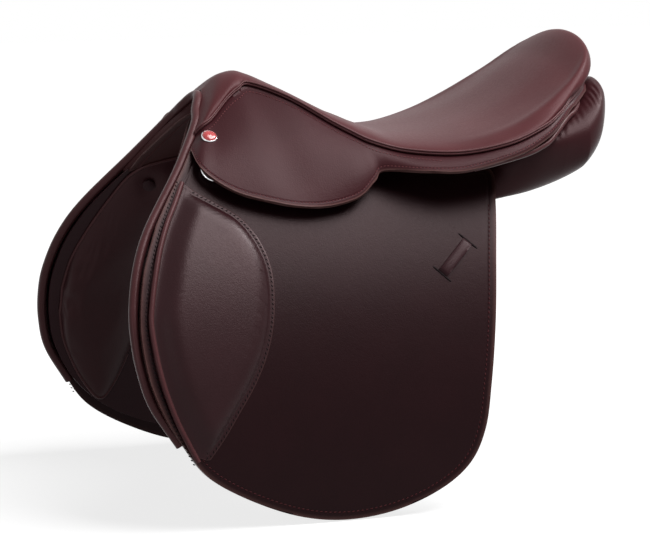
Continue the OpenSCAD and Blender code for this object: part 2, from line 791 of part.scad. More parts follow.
// Girth straps hang from webs on the tree's rails
strap_top = 26;
web_top = rail_low - layer_gap;
web_low = -8;

module girth_webs() {
    half = strap_width / 2;
    color(web_tint) for (i = [0:2]) {
        x = strap_x(i);
        barrel_sheet([[x - half, web_low], [x + half, web_low], [x + half, web_top], [x - half, web_top]],
            web_in, web_out);
    }
}

module girth_strap(i) {
    x = strap_x(i);
    half = strap_width / 2;
    tip = half;
    mid = (strap_in + strap_out) / 2;
    first = 40;
    low = barrel_angle(mid, -strap_drop);
    color(strap_hide) difference() {
        barrel_sheet([[x - half, strap_top], [x + half, strap_top], [x + half, tip - strap_drop],
            [x, -strap_drop], [x - half, tip - strap_drop]], strap_in, strap_out);
        for (k = [0:strap_holes - 1]) {
            angle = low + (first + k * strap_hole_pitch) / mid * 180 / PI;
            on_barrel(x, strap_in - 2, barrel_level + (strap_in - 2) * sin(angle))
                cylinder(d = strap_hole, h = strap_leather + 4, $fn = 32);
        }
    }
}

// Buckle guard that lies over the straps
guard_top = -30;
guard_low = -112;
module buckle_guard() {
    half = strap_pitch + strap_width / 2 + 8;
    r = 14;
    corners = [
        for (c = [[1, 1, 0], [-1, 1, 90], [-1, -1, 180], [1, -1, 270]], k = [0:6])
            [strap_middle + c[0] * (half - r) + r * cos(c[2] + 15 * k),
             (c[1] > 0 ? guard_top - r : guard_low + r) + r * sin(c[2] + 15 * k)]
    ];
    color(strap_hide) barrel_sheet(corners, guard_in, guard_out);
}

// Panel: rows of station, top, foot, depth under the seat, and how far it leaves the barrel
panel_rows = [
    [-290, -112, -138, 5, 0], [-284, -78, -168, 14, 0], [-270, -44, -200, 16, 0], [-255, -14, -224, 18, 0],
    [-240, 12, -238, 20, 0], [-226, 23, -222, 23, 0], [-212, 28, -190, 27, 0], [-195, 32, -140, 32, 0],
    [-175, 36, -80, panel_depth - 3, 0], [-155, 38, -36, panel_depth, 0], [-135, 39, -15, panel_depth, 0],
    [-95, 40, -9, panel_depth, 0], [-20, 40, -9, panel_depth, 0], [50, 42, -7, panel_depth, 0],
    [76, 44, -6, panel_depth, 0], [102, 48, -4, panel_depth, 0.4], [panel_aft(135), 58, 3, panel_depth, 0.9],
    [panel_aft(165), 74, 13, panel_depth, 1], [panel_aft(192), 86, 26, panel_depth, 1],
    [panel_aft(212), 93, 42, panel_depth - 8, 1], [panel_aft(224), 91, 60, panel_depth - 26, 1]
];
rear_middle = 76;
button_radius = 6;
button_height = 2.5;
button_rest = 0.1;
rear_flare = 44;
function panel_at(u, v, inner) =
    let (
        row = spline(panel_rows, u),
        z = lerp(row[1], row[2], v),
        rear = max(0, row[4]),
        full = max(0.12, pow(max(0, 1 - pow(abs(2 * v - 1), 2.6)), 0.55)),
        below = row[1] - row[2] > 90 ? smooth((v - 0.15) / 0.35) : 0,
        thin = lerp(row[3], min(row[3], knee_depth), below),
        side = lerp(barrel_y(panel_out, min(z, 70)), rear_middle, rear),
        slope = barrel_angle(panel_out, z) * (1 - rear),
        out = side + (1 - inner) * rear * rear_flare * full * row[3] / panel_depth,
        in = inner * full * thin
    )
    [row[0], -(out - in * cos(slope)), z - in * sin(slope)];
function panel_grid(inner) = [
    for (i = [0:42])
        [for (j = [0:9]) panel_at(i * (len(panel_rows) - 1) / 42, (1 - cos(20 * j)) / 2, inner)]
];

module panel() {
    color(panel_hide) shell(panel_grid(1), panel_grid(0));
}

// Button that holds the panel's lining at the front
module panel_buttons() {
    u = 5.4;
    v = 0.06;
    along = panel_at(u + 0.1, v, 1) - panel_at(u - 0.1, v, 1);
    down = panel_at(u, v + 0.03, 1) - panel_at(u, v - 0.03, 1);
    color(edge_hide) both_sides() translate(panel_at(u, v, 1)) facing(cross(along, down))
        translate([0, 0, button_rest]) cylinder(r = button_radius, h = button_height, $fn = 48);
}

module gullet_lining() {
    outline = [[-186, 110], [-216, 58], [-230, 36], [-160, 42], [-152, 60], [-140, 110]];
    color(panel_hide) both_sides() barrel_sheet(outline, lining_in, lining_out);
}

// Room between the channel cover's edge and the tree
channel_room = 3.6;

// Leather that closes the channel under the tree, on the panels' inner tops
module channel_cover() {
    wall = 1.6;
    rise = 1;
    half = barrel_y(tree_in, web_top) - channel_room;
    line = [for (u = [8.8:0.4:len(panel_rows) - 2.4]) let (r = spline(panel_rows, u)) [r[0], r[1] + rise]];
    back = [for (i = [len(line) - 1:-1:0]) line[i] + [0, wall]];
    color(panel_hide) translate([0, half, 0]) rotate([90, 0, 0])
        linear_extrude(height = 2 * half) polygon(concat(line, back));
}

// Near and off pieces
module seat_welt_near() seat_welt();
module seat_welt_off() off_side() seat_welt();
module skirt_top_near() skirt_top();
module skirt_top_off() off_side() skirt_top();
module skirt_near() skirt();
module skirt_off() off_side() skirt();
module stirrup_bar_near() stirrup_bar();
module stirrup_bar_off() off_side() stirrup_bar();
module catch_pin_near() catch_pin();
module catch_pin_off() off_side() catch_pin();
module bar_catch_near() bar_catch();
module bar_catch_off() off_side() bar_catch();
module flap_head_near() flap_head();
module flap_head_off() off_side() flap_head();
module flap_near() flap();
module flap_off() off_side() flap();
module knee_pad_near() knee_pad();
module knee_pad_off() off_side() knee_pad();
module flap_welt_near() flap_welt();
module flap_welt_off() off_side() flap_welt();
module leather_keeper_near() leather_keeper();
module leather_keeper_off() off_side() leather_keeper();
module dee_clip_near() dee_clip();
module dee_clip_off() off_side() dee_clip();
module dee_ring_near() dee_ring();
module dee_ring_off() off_side() dee_ring();
module sweat_flap_near() sweat_flap();
module sweat_flap_off() off_side() sweat_flap();
module point_pocket_near() point_pocket();
module point_pocket_off() off_side() point_pocket();
module girth_webs_near() girth_webs();
module girth_webs_off() off_side() girth_webs();
module girth_strap_front_near() girth_strap(0);
module girth_strap_middle_near() girth_strap(1);
module girth_strap_rear_near() girth_strap(2);
module girth_strap_front_off() off_side() girth_strap(0);
module girth_strap_middle_off() off_side() girth_strap(1);
module girth_strap_rear_off() off_side() girth_strap(2);
module buckle_guard_near() buckle_guard();
module buckle_guard_off() off_side() buckle_guard();
module panel_near() panel();
module panel_off() off_side() panel();

tree_head();
tree_rail();
head_plate();
gullet_plate();
tree_rivets();
seat_webs();
seat_foam();
seat_cover();
seat_welt_near();
seat_welt_off();
skirt_top_near();
skirt_top_off();
skirt_near();
skirt_off();
skirt_studs();
stirrup_bar_near();
stirrup_bar_off();
bar_rivets();
catch_pin_near();
catch_pin_off();
bar_catch_near();
bar_catch_off();
flap_head_near();
flap_head_off();
flap_near();
flap_off();
knee_pad_near();
knee_pad_off();
flap_welt_near();
flap_welt_off();
leather_keeper_near();
leather_keeper_off();
dee_clip_near();
dee_clip_off();
dee_ring_near();
dee_ring_off();
sweat_flap_near();
sweat_flap_off();
front_welt();
point_pocket_near();
point_pocket_off();
girth_webs_near();
girth_webs_off();
girth_strap_front_near();
girth_strap_middle_near();
girth_strap_rear_near();
girth_strap_front_off();
girth_strap_middle_off();
girth_strap_rear_off();
buckle_guard_near();
buckle_guard_off();
panel_near();
panel_off();
panel_buttons();
gullet_lining();
channel_cover();
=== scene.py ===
import bmesh
import bpy
import math
from mathutils import Matrix, Vector, geometry, noise
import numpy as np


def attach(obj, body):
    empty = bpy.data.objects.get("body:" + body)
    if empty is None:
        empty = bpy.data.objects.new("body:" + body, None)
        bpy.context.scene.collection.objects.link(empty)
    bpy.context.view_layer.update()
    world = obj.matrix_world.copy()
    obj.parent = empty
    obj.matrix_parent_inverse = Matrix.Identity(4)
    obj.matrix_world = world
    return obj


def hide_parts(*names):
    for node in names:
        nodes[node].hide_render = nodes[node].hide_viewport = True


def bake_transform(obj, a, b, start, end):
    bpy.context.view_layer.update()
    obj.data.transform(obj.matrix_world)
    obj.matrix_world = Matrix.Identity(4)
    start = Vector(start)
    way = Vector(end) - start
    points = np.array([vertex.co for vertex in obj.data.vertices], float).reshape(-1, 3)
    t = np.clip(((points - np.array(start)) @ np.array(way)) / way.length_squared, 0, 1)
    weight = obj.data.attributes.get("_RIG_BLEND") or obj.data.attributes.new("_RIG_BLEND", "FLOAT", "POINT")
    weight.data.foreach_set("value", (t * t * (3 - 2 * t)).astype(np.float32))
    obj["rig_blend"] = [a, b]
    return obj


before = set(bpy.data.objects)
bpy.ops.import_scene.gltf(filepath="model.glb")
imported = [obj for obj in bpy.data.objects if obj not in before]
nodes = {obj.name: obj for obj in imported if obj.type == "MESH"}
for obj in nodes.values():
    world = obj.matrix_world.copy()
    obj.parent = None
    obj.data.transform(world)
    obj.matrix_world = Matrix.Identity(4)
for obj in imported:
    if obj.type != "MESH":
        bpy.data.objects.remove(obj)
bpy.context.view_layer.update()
scene = bpy.context.scene
mm = 0.001

# the photo's camera and frame
camera = {
    "azimuth": -21.0, "elevation": 8.5, "distance": 3.2, "target": (-0.052, 0, -0.090),
    "focalPixels": 3104.0, "imageWidth": 650, "sensor": 36.0, "clipEnd": 50.0,
}


def makeCamera(c):
    a, e = math.radians(c["azimuth"]), math.radians(c["elevation"])
    back = Vector((math.sin(a) * math.cos(e), -math.cos(a) * math.cos(e), math.sin(e)))
    data = bpy.data.cameras.new("photoCamera")
    data.sensor_width = c["sensor"]
    data.lens = c["focalPixels"] / c["imageWidth"] * c["sensor"]
    data.clip_end = c["clipEnd"]
    cam = bpy.data.objects.new("photoCamera", data)
    scene.collection.objects.link(cam)
    cam.location = Vector(c["target"]) + back * c["distance"]
    cam.rotation_mode = "QUATERNION"
    cam.rotation_quaternion = (-back).to_track_quat("-Z", "Y")
    scene.camera = cam


makeCamera(camera)
print("camera set")


# Curves

def lerp(a, b, t):
    return a + (b - a) * t


def smoothStep(t):
    c = max(0.0, min(1.0, t))
    return c * c * (3 - 2 * c)


def bell(x, width):
    return math.exp(-(x / width) ** 2)


# Catmull-Rom through rows of numbers, as the CAD uses
def rowAt(rows, u):
    last = len(rows) - 1
    i = max(0, min(int(math.floor(u)), last - 1))
    t = u - i
    b, c = rows[i], rows[i + 1]
    a = rows[i - 1] if i > 0 else [2 * p - q for p, q in zip(b, c)]
    d = rows[i + 2] if i + 2 <= last else [2 * q - p for p, q in zip(b, c)]
    return [
        q + (r - p) * t / 2 + (2 * p - 5 * q + 4 * r - s) * t * t / 2
        + (3 * q - p - 3 * r + s) * t ** 3 / 2
        for p, q, r, s in zip(a, b, c, d)
    ]


def sampled(rows, count):
    return [rowAt(rows, i * (len(rows) - 1) / count) for i in range(count + 1)]


# even steps along a 2D or 3D line
def evenly(line, step, closed=False):
    pts = [Vector(p) for p in line]
    if closed:
        pts.append(pts[0])
    total = sum((b - a).length for a, b in zip(pts, pts[1:]))
    count = max(2, round(total / step))
    out, gone, k = [], 0.0, 0
    for i in range(count if closed else count + 1):
        want = total * i / count
        while k < len(pts) - 2 and gone + (pts[k + 1] - pts[k]).length < want:
            gone += (pts[k + 1] - pts[k]).length
            k += 1
        span = (pts[k + 1] - pts[k]).length
        out.append(pts[k].lerp(pts[k + 1], min(1, (want - gone) / span if span else 0)))
    return out


# The barrel that all side leather lies on: a flat pattern (x, s) in mm is laid on it
barrel = {"radius": 490.0, "axis": 284.0, "level": -288.0}


def onBarrel(x, s, r):
    q = s / barrel["radius"]
    y = barrel["axis"] - r * math.cos(q)
    return Vector((x, y, barrel["level"] + r * math.sin(q))) * mm


def flat(x, z):
    return Vector((x, barrel["radius"] * math.asin((z - barrel["level"]) / barrel["radius"])))


def flatLine(rows, count):
    return [flat(x, z) for x, z in sampled(rows, count)]


def barrelY(r, z):
    return math.sqrt(r * r - (z - barrel["level"]) ** 2) - barrel["axis"]


def over(lift, z):
    return barrelY(barrel["radius"] + lift, z)


# Pieces

farIn = 99.0  # stands for a point that is away from every edge


def addPiece(name, bm, material, sharp=35):
    for f in bm.faces:
        f.smooth = True
    for e in bm.edges:
        e.smooth = e.calc_face_angle(0) <= math.radians(sharp)
    mesh = bpy.data.meshes.new(name)
    bm.to_mesh(mesh)
    bm.free()
    mesh.materials.append(material)
    obj = bpy.data.objects.new(name, mesh)
    scene.collection.objects.link(obj)
    return obj


def cadCopy(node):
    bm = bmesh.new()
    bm.from_mesh(nodes[node].data)
    bmesh.ops.remove_doubles(bm, verts=bm.verts, dist=2e-5)
    return bm


# rounds the corners that are sharper than an angle
def roundOff(bm, size, segments=3, angle=55, clamp=True):
    rim = [e for e in bm.edges if e.calc_face_angle(0) > math.radians(angle)]
    bmesh.ops.bevel(
        bm, geom=rim, offset=size * mm, affect="EDGES", segments=segments, profile=0.5, material=-1,
        clamp_overlap=clamp,
    )


def offSide(obj):
    mesh = obj.data.copy()
    mesh.transform(Matrix.Scale(-1, 4, (0, 1, 0)))
    mesh.flip_normals()
    off = obj.copy()
    off.name = obj.name.replace("Near", "Off")
    mesh.name = off.name
    off.data = mesh
    scene.collection.objects.link(off)
    return off


def dressed(obj, body, slot, *replaced):
    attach(obj, body)
    if replaced:
        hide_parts(*replaced)
    return obj


def smoothed(obj):
    smooth = obj.modifiers.new("smooth", "SUBSURF")
    smooth.levels = smooth.render_levels = 1


# near piece and its mirror, both on the same kind of body
def dressedPair(obj, body, slot, *replaced):
    off = offSide(obj)
    for o, side in ((obj, "near"), (off, "off")):
        b = body if body == "saddle" else f"{side}_{body}"
        dressed(o, b, slot, *[f"{n}_{side}" for n in replaced])
    return obj, off


# leather that crosses the line on which a flap or skirt bends
def bentPair(obj, body, slot, fold, *replaced):
    off = offSide(obj)
    for o, side in ((obj, "near"), (off, "off")):
        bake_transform(o, "saddle", f"{side}_{body}", start=fold["start"], end=fold["end"])
        if replaced:
            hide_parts(*[f"{n}_{side}" for n in replaced])
    return obj, off


def tube(name, points, radius, material, sides=8):
    curve = bpy.data.curves.new(name, "CURVE")
    curve.dimensions = "3D"
    curve.bevel_depth = radius
    curve.bevel_resolution = max(0, sides // 2 - 2)
    curve.use_fill_caps = True
    line = curve.splines.new("POLY")
    line.points.add(len(points) - 1)
    for p, co in zip(line.points, points):
        p.co = (*co, 1)
    holder = bpy.data.objects.new(name + "Line", curve)
    scene.collection.objects.link(holder)
    mesh = bpy.data.meshes.new_from_object(holder.evaluated_get(bpy.context.evaluated_depsgraph_get()))
    bpy.data.objects.remove(holder)
    bm = bmesh.new()
    bm.from_mesh(mesh)
    bpy.data.meshes.remove(mesh)
    bmesh.ops.remove_doubles(bm, verts=bm.verts, dist=1e-6)
    bmesh.ops.recalc_face_normals(bm, faces=bm.faces)
    return addPiece(name, bm, material, 60)


# a row of slanted stitches along points with normals
def stitchRow(bm, points, normals, p):
    marks = evenly(points, p["pitch"] * mm)
    k = 0
    for i, at in enumerate(marks):
        while k < len(points) - 2 and (points[k + 1] - at).length < (points[k] - at).length:
            k += 1
        ahead = (marks[min(i + 1, len(marks) - 1)] - marks[max(i - 1, 0)]).normalized()
        up = normals[k].normalized()
        ahead = (ahead - up * ahead.dot(up)).normalized()
        side = up.cross(ahead)
        turn = Matrix.Rotation(math.radians(p["slant"]), 3, up)
        ahead, side = turn @ ahead, turn @ side
        axes = (ahead * p["stitch"] / 2 * mm, side * p["thick"] / 2 * mm, up * p["thick"] / 2 * mm)
        m = Matrix(axes).transposed().to_4x4()
        m.translation = at
        bmesh.ops.create_uvsphere(bm, u_segments=6, v_segments=4, radius=1, matrix=m)


# Materials

def group(name, inputs, outputs):
    tree = bpy.data.node_groups.new(name, "ShaderNodeTree")
    for kind, label, value in inputs:
        s = tree.interface.new_socket(label, in_out="INPUT", socket_type="NodeSocket" + kind)
        if value is not None:
            s.default_value = value
    for kind, label in outputs:
        tree.interface.new_socket(label, in_out="OUTPUT", socket_type="NodeSocket" + kind)
    return tree, tree.nodes.new("NodeGroupInput"), tree.nodes.new("NodeGroupOutput")


# a number or a colour is set on a socket, anything else is linked to it
def feed(tree, socket, value):
    if isinstance(value, (int, float)):
        socket.default_value = value
    elif isinstance(value, tuple):
        socket.default_value = (*value, 1)
    else:
        tree.links.new(value, socket)


def mathNode(tree, operation, *values):
    n = tree.nodes.new("ShaderNodeMath")
    n.operation = operation
    for i, v in enumerate(values):
        feed(tree, n.inputs[i], v)
    return n.outputs[0]


def mixColours(tree, fac, a, b):
    n = tree.nodes.new("ShaderNodeMix")
    n.data_type = "RGBA"
    for i, v in ((0, fac), (6, a), (7, b)):
        feed(tree, n.inputs[i], v)
    return n.outputs[2]


def texture(tree, kind, vector, **values):
    n = tree.nodes.new("ShaderNodeTex" + kind)
    for k, v in values.items():
        if isinstance(v, str):
            setattr(n, k, v)
        else:
            feed(tree, n.inputs[k], v)
    tree.links.new(vector, n.inputs["Vector"])
    return n


def rgb(code):
    parts = [int(code[i:i + 2], 16) / 255 for i in (1, 3, 5)]
    return tuple(c / 12.92 if c <= 0.04045 else ((c + 0.055) / 1.055) ** 2.4 for c in parts)


# fine pebbled grain with pores, and the slow mottle of a dyed hide
hideGrain = {
    "cells": 900.0, "mottle": 22.0, "poreScale": 0.45, "creaseScale": 0.12,
    "level": 0.8, "cellHeight": -0.7, "poreHeight": 0.5, "creaseHeight": 0.6,
}


def makeGrain(p):
    tree, gi, go = group(
        "hideGrain",
        [("Vector", "Vector", None), ("Float", "Cells", p["cells"]), ("Float", "Mottle", p["mottle"])],
        [("Float", "Height"), ("Float", "Mottle"), ("Float", "Fine")],
    )
    v, scale = gi.outputs["Vector"], gi.outputs["Cells"]
    poreScale = mathNode(tree, "MULTIPLY", scale, p["poreScale"])
    creaseScale = mathNode(tree, "MULTIPLY", scale, p["creaseScale"])
    cells = texture(tree, "Voronoi", v, Scale=scale, feature="SMOOTH_F1", Randomness=1.0)
    pores = texture(tree, "Noise", v, Scale=poreScale, Detail=3.0)
    slow = texture(tree, "Noise", v, Scale=gi.outputs["Mottle"], Detail=4.0, Roughness=0.55)
    creases = texture(tree, "Noise", v, Scale=creaseScale, Detail=2.0)
    height = mathNode(tree, "MULTIPLY_ADD", cells.outputs["Distance"], p["cellHeight"], p["level"])
    height = mathNode(tree, "MULTIPLY_ADD", pores.outputs["Fac"], p["poreHeight"], height)
    height = mathNode(tree, "MULTIPLY_ADD", creases.outputs["Fac"], p["creaseHeight"], height)
    tree.links.new(height, go.inputs["Height"])
    tree.links.new(slow.outputs["Fac"], go.inputs["Mottle"])
    tree.links.new(pores.outputs["Fac"], go.inputs["Fine"])
    return tree


# rubbed or burnished edge, partly a painted highlight along the rolled edges, from the piece's own edge
# attribute broken up by noise
edgeRubAndSheen = {"break": 160.0, "vary": 0.8}


def makeEdge(p):
    tree, gi, go = group(
        "edgeRubAndSheen",
        [("Float", "Edge", 0.0), ("Vector", "Vector", None), ("Float", "Break", p["break"])],
        [("Float", "Mask")],
    )
    n = texture(tree, "Noise", gi.outputs["Vector"], Scale=gi.outputs["Break"], Detail=3.0)
    lift = mathNode(tree, "MULTIPLY_ADD", n.outputs["Fac"], p["vary"], -p["vary"] / 2)
    soft = mathNode(tree, "ADD", gi.outputs["Edge"], mathNode(tree, "MULTIPLY", lift, gi.outputs["Edge"]))
    clamp = tree.nodes.new("ShaderNodeClamp")
    tree.links.new(soft, clamp.inputs[0])
    tree.links.new(clamp.outputs[0], go.inputs["Mask"])
    return tree


grainGroup = makeGrain(hideGrain)
edgeRubAndSheenGroup = makeEdge(edgeRubAndSheen)


def material(name):
    m = bpy.data.materials.new(name)
    m.use_nodes = True
    t = m.node_tree
    return m, t, t.nodes["Principled BSDF"], t.nodes.new("ShaderNodeTexCoord").outputs["Object"]


def placed(tree, kind, **inputs):
    n = tree.nodes.new("ShaderNodeGroup")
    n.node_tree = kind
    for k, v in inputs.items():
        feed(tree, n.inputs[k], v)
    return n


def bumped(tree, shader, height, distance):
    b = tree.nodes.new("ShaderNodeBump")
    b.inputs["Distance"].default_value = distance
    b.inputs["Strength"].default_value = 1.0
    tree.links.new(height, b.inputs["Height"])
    tree.links.new(b.outputs[0], shader.inputs["Normal"])


# two tones of one colour, mixed by a mask
def toned(tree, shader, mask, deep, fair):
    tree.links.new(mixColours(tree, mask, rgb(deep), rgb(fair)), shader.inputs["Base Color"])


# what all the leathers share
hide = {"glossVary": 0.16, "rubGloss": -0.08, "tint": "#ffe4e6", "bump": 0.00012}


def leather(name, deep, fair, edge, rough, shine, cells=hideGrain["cells"]):
    m, t, shader, co = material(name)
    grain = placed(t, grainGroup, Vector=co, Cells=cells)
    mark = t.nodes.new("ShaderNodeAttribute")
    mark.attribute_name = "edge"
    rubAndSheen = placed(t, edgeRubAndSheenGroup, Edge=mark.outputs["Fac"], Vector=co)
    base = mixColours(t, grain.outputs["Mottle"], rgb(deep), rgb(fair))
    # lighter colour at the rims: rubbed wear, and partly a painted highlight on the rolled edges
    t.links.new(mixColours(t, rubAndSheen.outputs["Mask"], base, rgb(edge)), shader.inputs["Base Color"])
    vary = hide["glossVary"]
    gloss = mathNode(t, "MULTIPLY_ADD", grain.outputs["Fine"], vary, rough - vary / 2)
    gloss = mathNode(t, "MULTIPLY_ADD", rubAndSheen.outputs["Mask"], hide["rubGloss"], gloss)
    t.links.new(gloss, shader.inputs["Roughness"])
    shader.inputs["Specular IOR Level"].default_value = shine
    shader.inputs["Specular Tint"].default_value = (*rgb(hide["tint"]), 1)
    bumped(t, shader, grain.outputs["Height"], hide["bump"])
    return m


# the third colour is each leather's rim tone: rubbed wear, and partly a painted highlight
seatLeather = leather("seatLeather", "#391619", "#462023", "#553835", 0.44, 0.13)
skirtLeather = leather("skirtLeather", "#2a1013", "#35171b", "#5a3f3d", 0.38, 0.1)
flapLeather = leather("flapLeather", "#140507", "#1c090c", "#4f3634", 0.36, 0.1)
padLeather = leather("padLeather", "#1b090b", "#260f13", "#3c2625", 0.36, 0.18)
panelLeather = leather("panelLeather", "#240c0f", "#301417", "#402522", 0.4, 0.14, 1100.0)
# lighter than the flap and skirt: the piping's own tone, and partly a painted highlight on the rolls and
# piping
weltLeatherAndSheen = leather("weltLeatherAndSheen", "#3d1f21", "#4b2a2c", "#624441", 0.34, 0.15)
strapLeather = leather("strapLeather", "#1e0e11", "#291418", "#4a3130", 0.38, 0.12)
liningLeather = leather("liningLeather", "#311718", "#3f2122", "#4a3130", 0.5, 0.1, 1000.0)


def thread(name, fair, deep, rough=0.7, shine=0.1, bump=0.00008):
    m, t, shader, co = material(name)
    ply = texture(t, "Wave", co, Scale=700.0, Distortion=3.0, Detail=2.0)
    toned(t, shader, ply.outputs["Fac"], deep, fair)
    shader.inputs["Roughness"].default_value = rough
    shader.inputs["Specular IOR Level"].default_value = shine
    bumped(t, shader, ply.outputs["Fac"], bump)
    return m


redThread = thread("redThread", "#6d3c3f", "#4c272a")
# dark thread, also used as painted shade in the keeper's two slits
darkThreadAndSlitShade = thread("darkThreadAndSlitShade", "#14090b", "#0a0405")
flapThread = thread("flapThread", "#4c2124", "#331417")


def metal(name, fair, deep, rough, brushed, scratch, finer=9, bump=0.00003):
    m, t, shader, co = material(name)
    n = texture(t, "Noise", co, Scale=brushed, Detail=5.0, Roughness=0.6)
    fine = texture(t, "Noise", co, Scale=brushed * finer, Detail=2.0)
    toned(t, shader, n.outputs["Fac"], deep, fair)
    t.links.new(mathNode(t, "MULTIPLY_ADD", fine.outputs["Fac"], scratch, rough), shader.inputs["Roughness"])
    shader.inputs["Metallic"].default_value = 1.0
    bumped(t, shader, fine.outputs["Fac"], bump)
    return m


chrome = metal("chrome", "#e6e6e8", "#c9cacd", 0.08, 60.0, 0.08)
barSteel = metal("barSteel", "#b9bcc0", "#8f9297", 0.26, 140.0, 0.16)
plateSteel = metal("plateSteel", "#9a9da1", "#6f7175", 0.36, 90.0, 0.2)


def wood(name, fair, deep, layerTone=0.7, poreTone=0.35, rough=0.42, roughVary=0.2, bump=0.0003):
    m, t, shader, co = material(name)
    layers = texture(t, "Wave", co, Scale=48.0, Distortion=6.0, Detail=3.0, bands_direction="Z")
    pores = texture(t, "Noise", co, Scale=420.0, Detail=3.0)
    tone = mathNode(t, "MULTIPLY", layers.outputs["Fac"], layerTone)
    tone = mathNode(t, "MULTIPLY_ADD", pores.outputs["Fac"], poreTone, tone)
    toned(t, shader, tone, deep, fair)
    gloss = mathNode(t, "MULTIPLY_ADD", pores.outputs["Fac"], roughVary, rough)
    t.links.new(gloss, shader.inputs["Roughness"])
    bumped(t, shader, tone, bump)
    return m


treeWood = wood("treeWood", "#b8935f", "#8c6a3f")


def weave(name, fair, deep, pitch, rough=0.85, bump=0.0004):
    m, t, shader, co = material(name)
    warp = texture(t, "Wave", co, Scale=pitch, Distortion=0.6, bands_direction="X")
    weft = texture(t, "Wave", co, Scale=pitch, Distortion=0.6, bands_direction="Z")
    height = mathNode(t, "MULTIPLY", warp.outputs["Fac"], weft.outputs["Fac"])
    toned(t, shader, height, deep, fair)
    shader.inputs["Roughness"].default_value = rough
    bumped(t, shader, height, bump)
    return m


linenWeb = weave("linenWeb", "#cfc4aa", "#a99c80", 150.0)


def foam(name, fair, deep, rough=0.9, bump=0.0005):
    m, t, shader, co = material(name)
    cells = texture(t, "Voronoi", co, Scale=700.0)
    toned(t, shader, cells.outputs["Distance"], deep, fair)
    shader.inputs["Roughness"].default_value = rough
    bumped(t, shader, cells.outputs["Distance"], bump)
    return m


seatFoam = foam("seatFoam", "#dccfae", "#b9a880")


def enamel(name, fair, deep, rough=0.2, roughVary=0.06, coat=0.5, coatRough=0.12):
    m, t, shader, co = material(name)
    n = texture(t, "Noise", co, Scale=400.0, Detail=3.0)
    toned(t, shader, n.outputs["Fac"], deep, fair)
    t.links.new(mathNode(t, "MULTIPLY_ADD", n.outputs["Fac"], roughVary, rough), shader.inputs["Roughness"])
    shader.inputs["Coat Weight"].default_value = coat
    shader.inputs["Coat Roughness"].default_value = coatRough
    return m


studRed = enamel("studRed", "#b02a2c", "#8a1c20")
print("materials made")


# Seat and skirts, set out from stations as the CAD is, each with
# welt x y z, seat middle x z, roundness up, along and fullness, skirt edge x y z, swell
pommelTop, seatLow, cantleTop = 124.0, 62.0, 155.0
stations = [
    [-209, over(0.8, 68), 68, -183, pommelTop - 16, 1.3, 1.3, 1, -221, over(3, 54), 54, 1],
    [-202, over(6.5, 75), 75, -171, pommelTop - 5, 1.5, 1.5, 0.9, -221, over(13, 41), 41, 3],
    [-190, over(7, 82), 82, -160, pommelTop - 1, 1.8, 1.8, 0.75, -208, over(15, 27), 27, 5],
    [-172, over(10, 97), 97, -150, pommelTop, 2, 2, 0.6, -187, over(16, 15), 15, 8],
    [-157, over(13, 107), 107, -140, pommelTop - 3, 2, 2, 0.55, -159, over(17, 7), 7, 10],
    [-143, 24, 112, -130, pommelTop - 7, 2, 2, 0.5, -129, over(17, 1), 1, 10],
    [-110, 48, 99, -106, 105, 2.2, 2, 0.5, -98, over(17, 0), 0, 10],
    [-75, 78, 76, -72, 87, 2.2, 2, 0.5, -65, over(18, 7), 7, 8],
    [-58, 90, 66, -55, 80, 2.2, 2, 0.5, -45, over(21, 22), 22, 5],
    [-40, 101, 57, -36, 72, 2.4, 2, 0.55, -34, over(23, 30.5), 30.5, 3],
    [-8, 114, 48, -4, seatLow, 2.6, 2, 0.6, 4, 136, 30.5, 2],
    [42, 134, 46, 45, seatLow + 1, 2.6, 2, 0.6, 43, 148, 30.5, 2],
    [91, 143, 55, 95, seatLow + 13, 2.6, 2.5, 0.6, 98, 151, 44, 2],
    [128, 139, 69, 138, 97, 2.4, 3, 0.6, 132, 143, 58, 2],
    [150, 128, 80, 180, 130, 2.2, 3.5, 0.6, 153, 130, 70, 1.5],
    [164, 116, 88, 210, cantleTop, 2, 3.5, 0.55, 167, 118, 80, 1],
    [170, 111, 92, 222, 138, 2, 3, 0.5, 173.5, 113, 85, 1],
    [176, 106.5, 95, 221, 112, 4, 2.5, 0.5, 180, 108.5, 88, 1],
]
lastStation = len(stations) - 1
weltRoom = 1.9
seat = {
    "rows": 136, "columns": 72, "leather": 2.0, "spread": 88.0, "rearEase": 1.5, "probe": (0.05, 0.02),
    "hem": 4, "hemIn": 3.2, "hemDrop": 6.5,
    "facingDrop": 5.0, "facingBulge": 2.5, "facingNarrow": 0.5, "facingBehind": 1.5, "rollFace": 483.0,
    "crest": 3.0, "crestAt": 0.87, "crestWide": 0.07, "crestFrom": (10.5, 13.5), "crestCorner": 6,
    "dish": 1.8, "dishAt": 0.6, "dishWide": 0.2,
}
# how near the rear end a station is, on the scale on which the sides run to 1
towardsRear = [(12, 0), (14.5, 0.66), (15.4, 0.9), (17, 1)]
# the front roll's line on the near side, as x and height
rollLine = [(-189, 98.5), (-192, 94), (-206, 74), (-235, 34), (-277, -18)]


def rollX(z):
    for (xa, za), (xb, zb) in zip(rollLine, rollLine[1:]):
        if z >= zb:
            return lerp(xa, xb, (za - z) / (za - zb))
    return rollLine[-1][0]


# the rolled crest round the cantle and the dish inside it
def crestAt(u, t):
    back = 0.0
    for (ua, ea), (ub, eb) in zip(towardsRear, towardsRear[1:]):
        if ua < u <= ub:
            back = lerp(ea, eb, (u - ua) / (ub - ua))
    corner = seat["crestCorner"]
    out = (abs(t) ** corner + back ** corner) ** (1 / corner)
    low, high = seat["crestFrom"]
    roll = seat["crest"] * bell(out - seat["crestAt"], seat["crestWide"])
    dish = seat["dish"] * bell(out - seat["dishAt"], seat["dishWide"])
    return (roll - dish) * smoothStep((u - low) / (high - low))


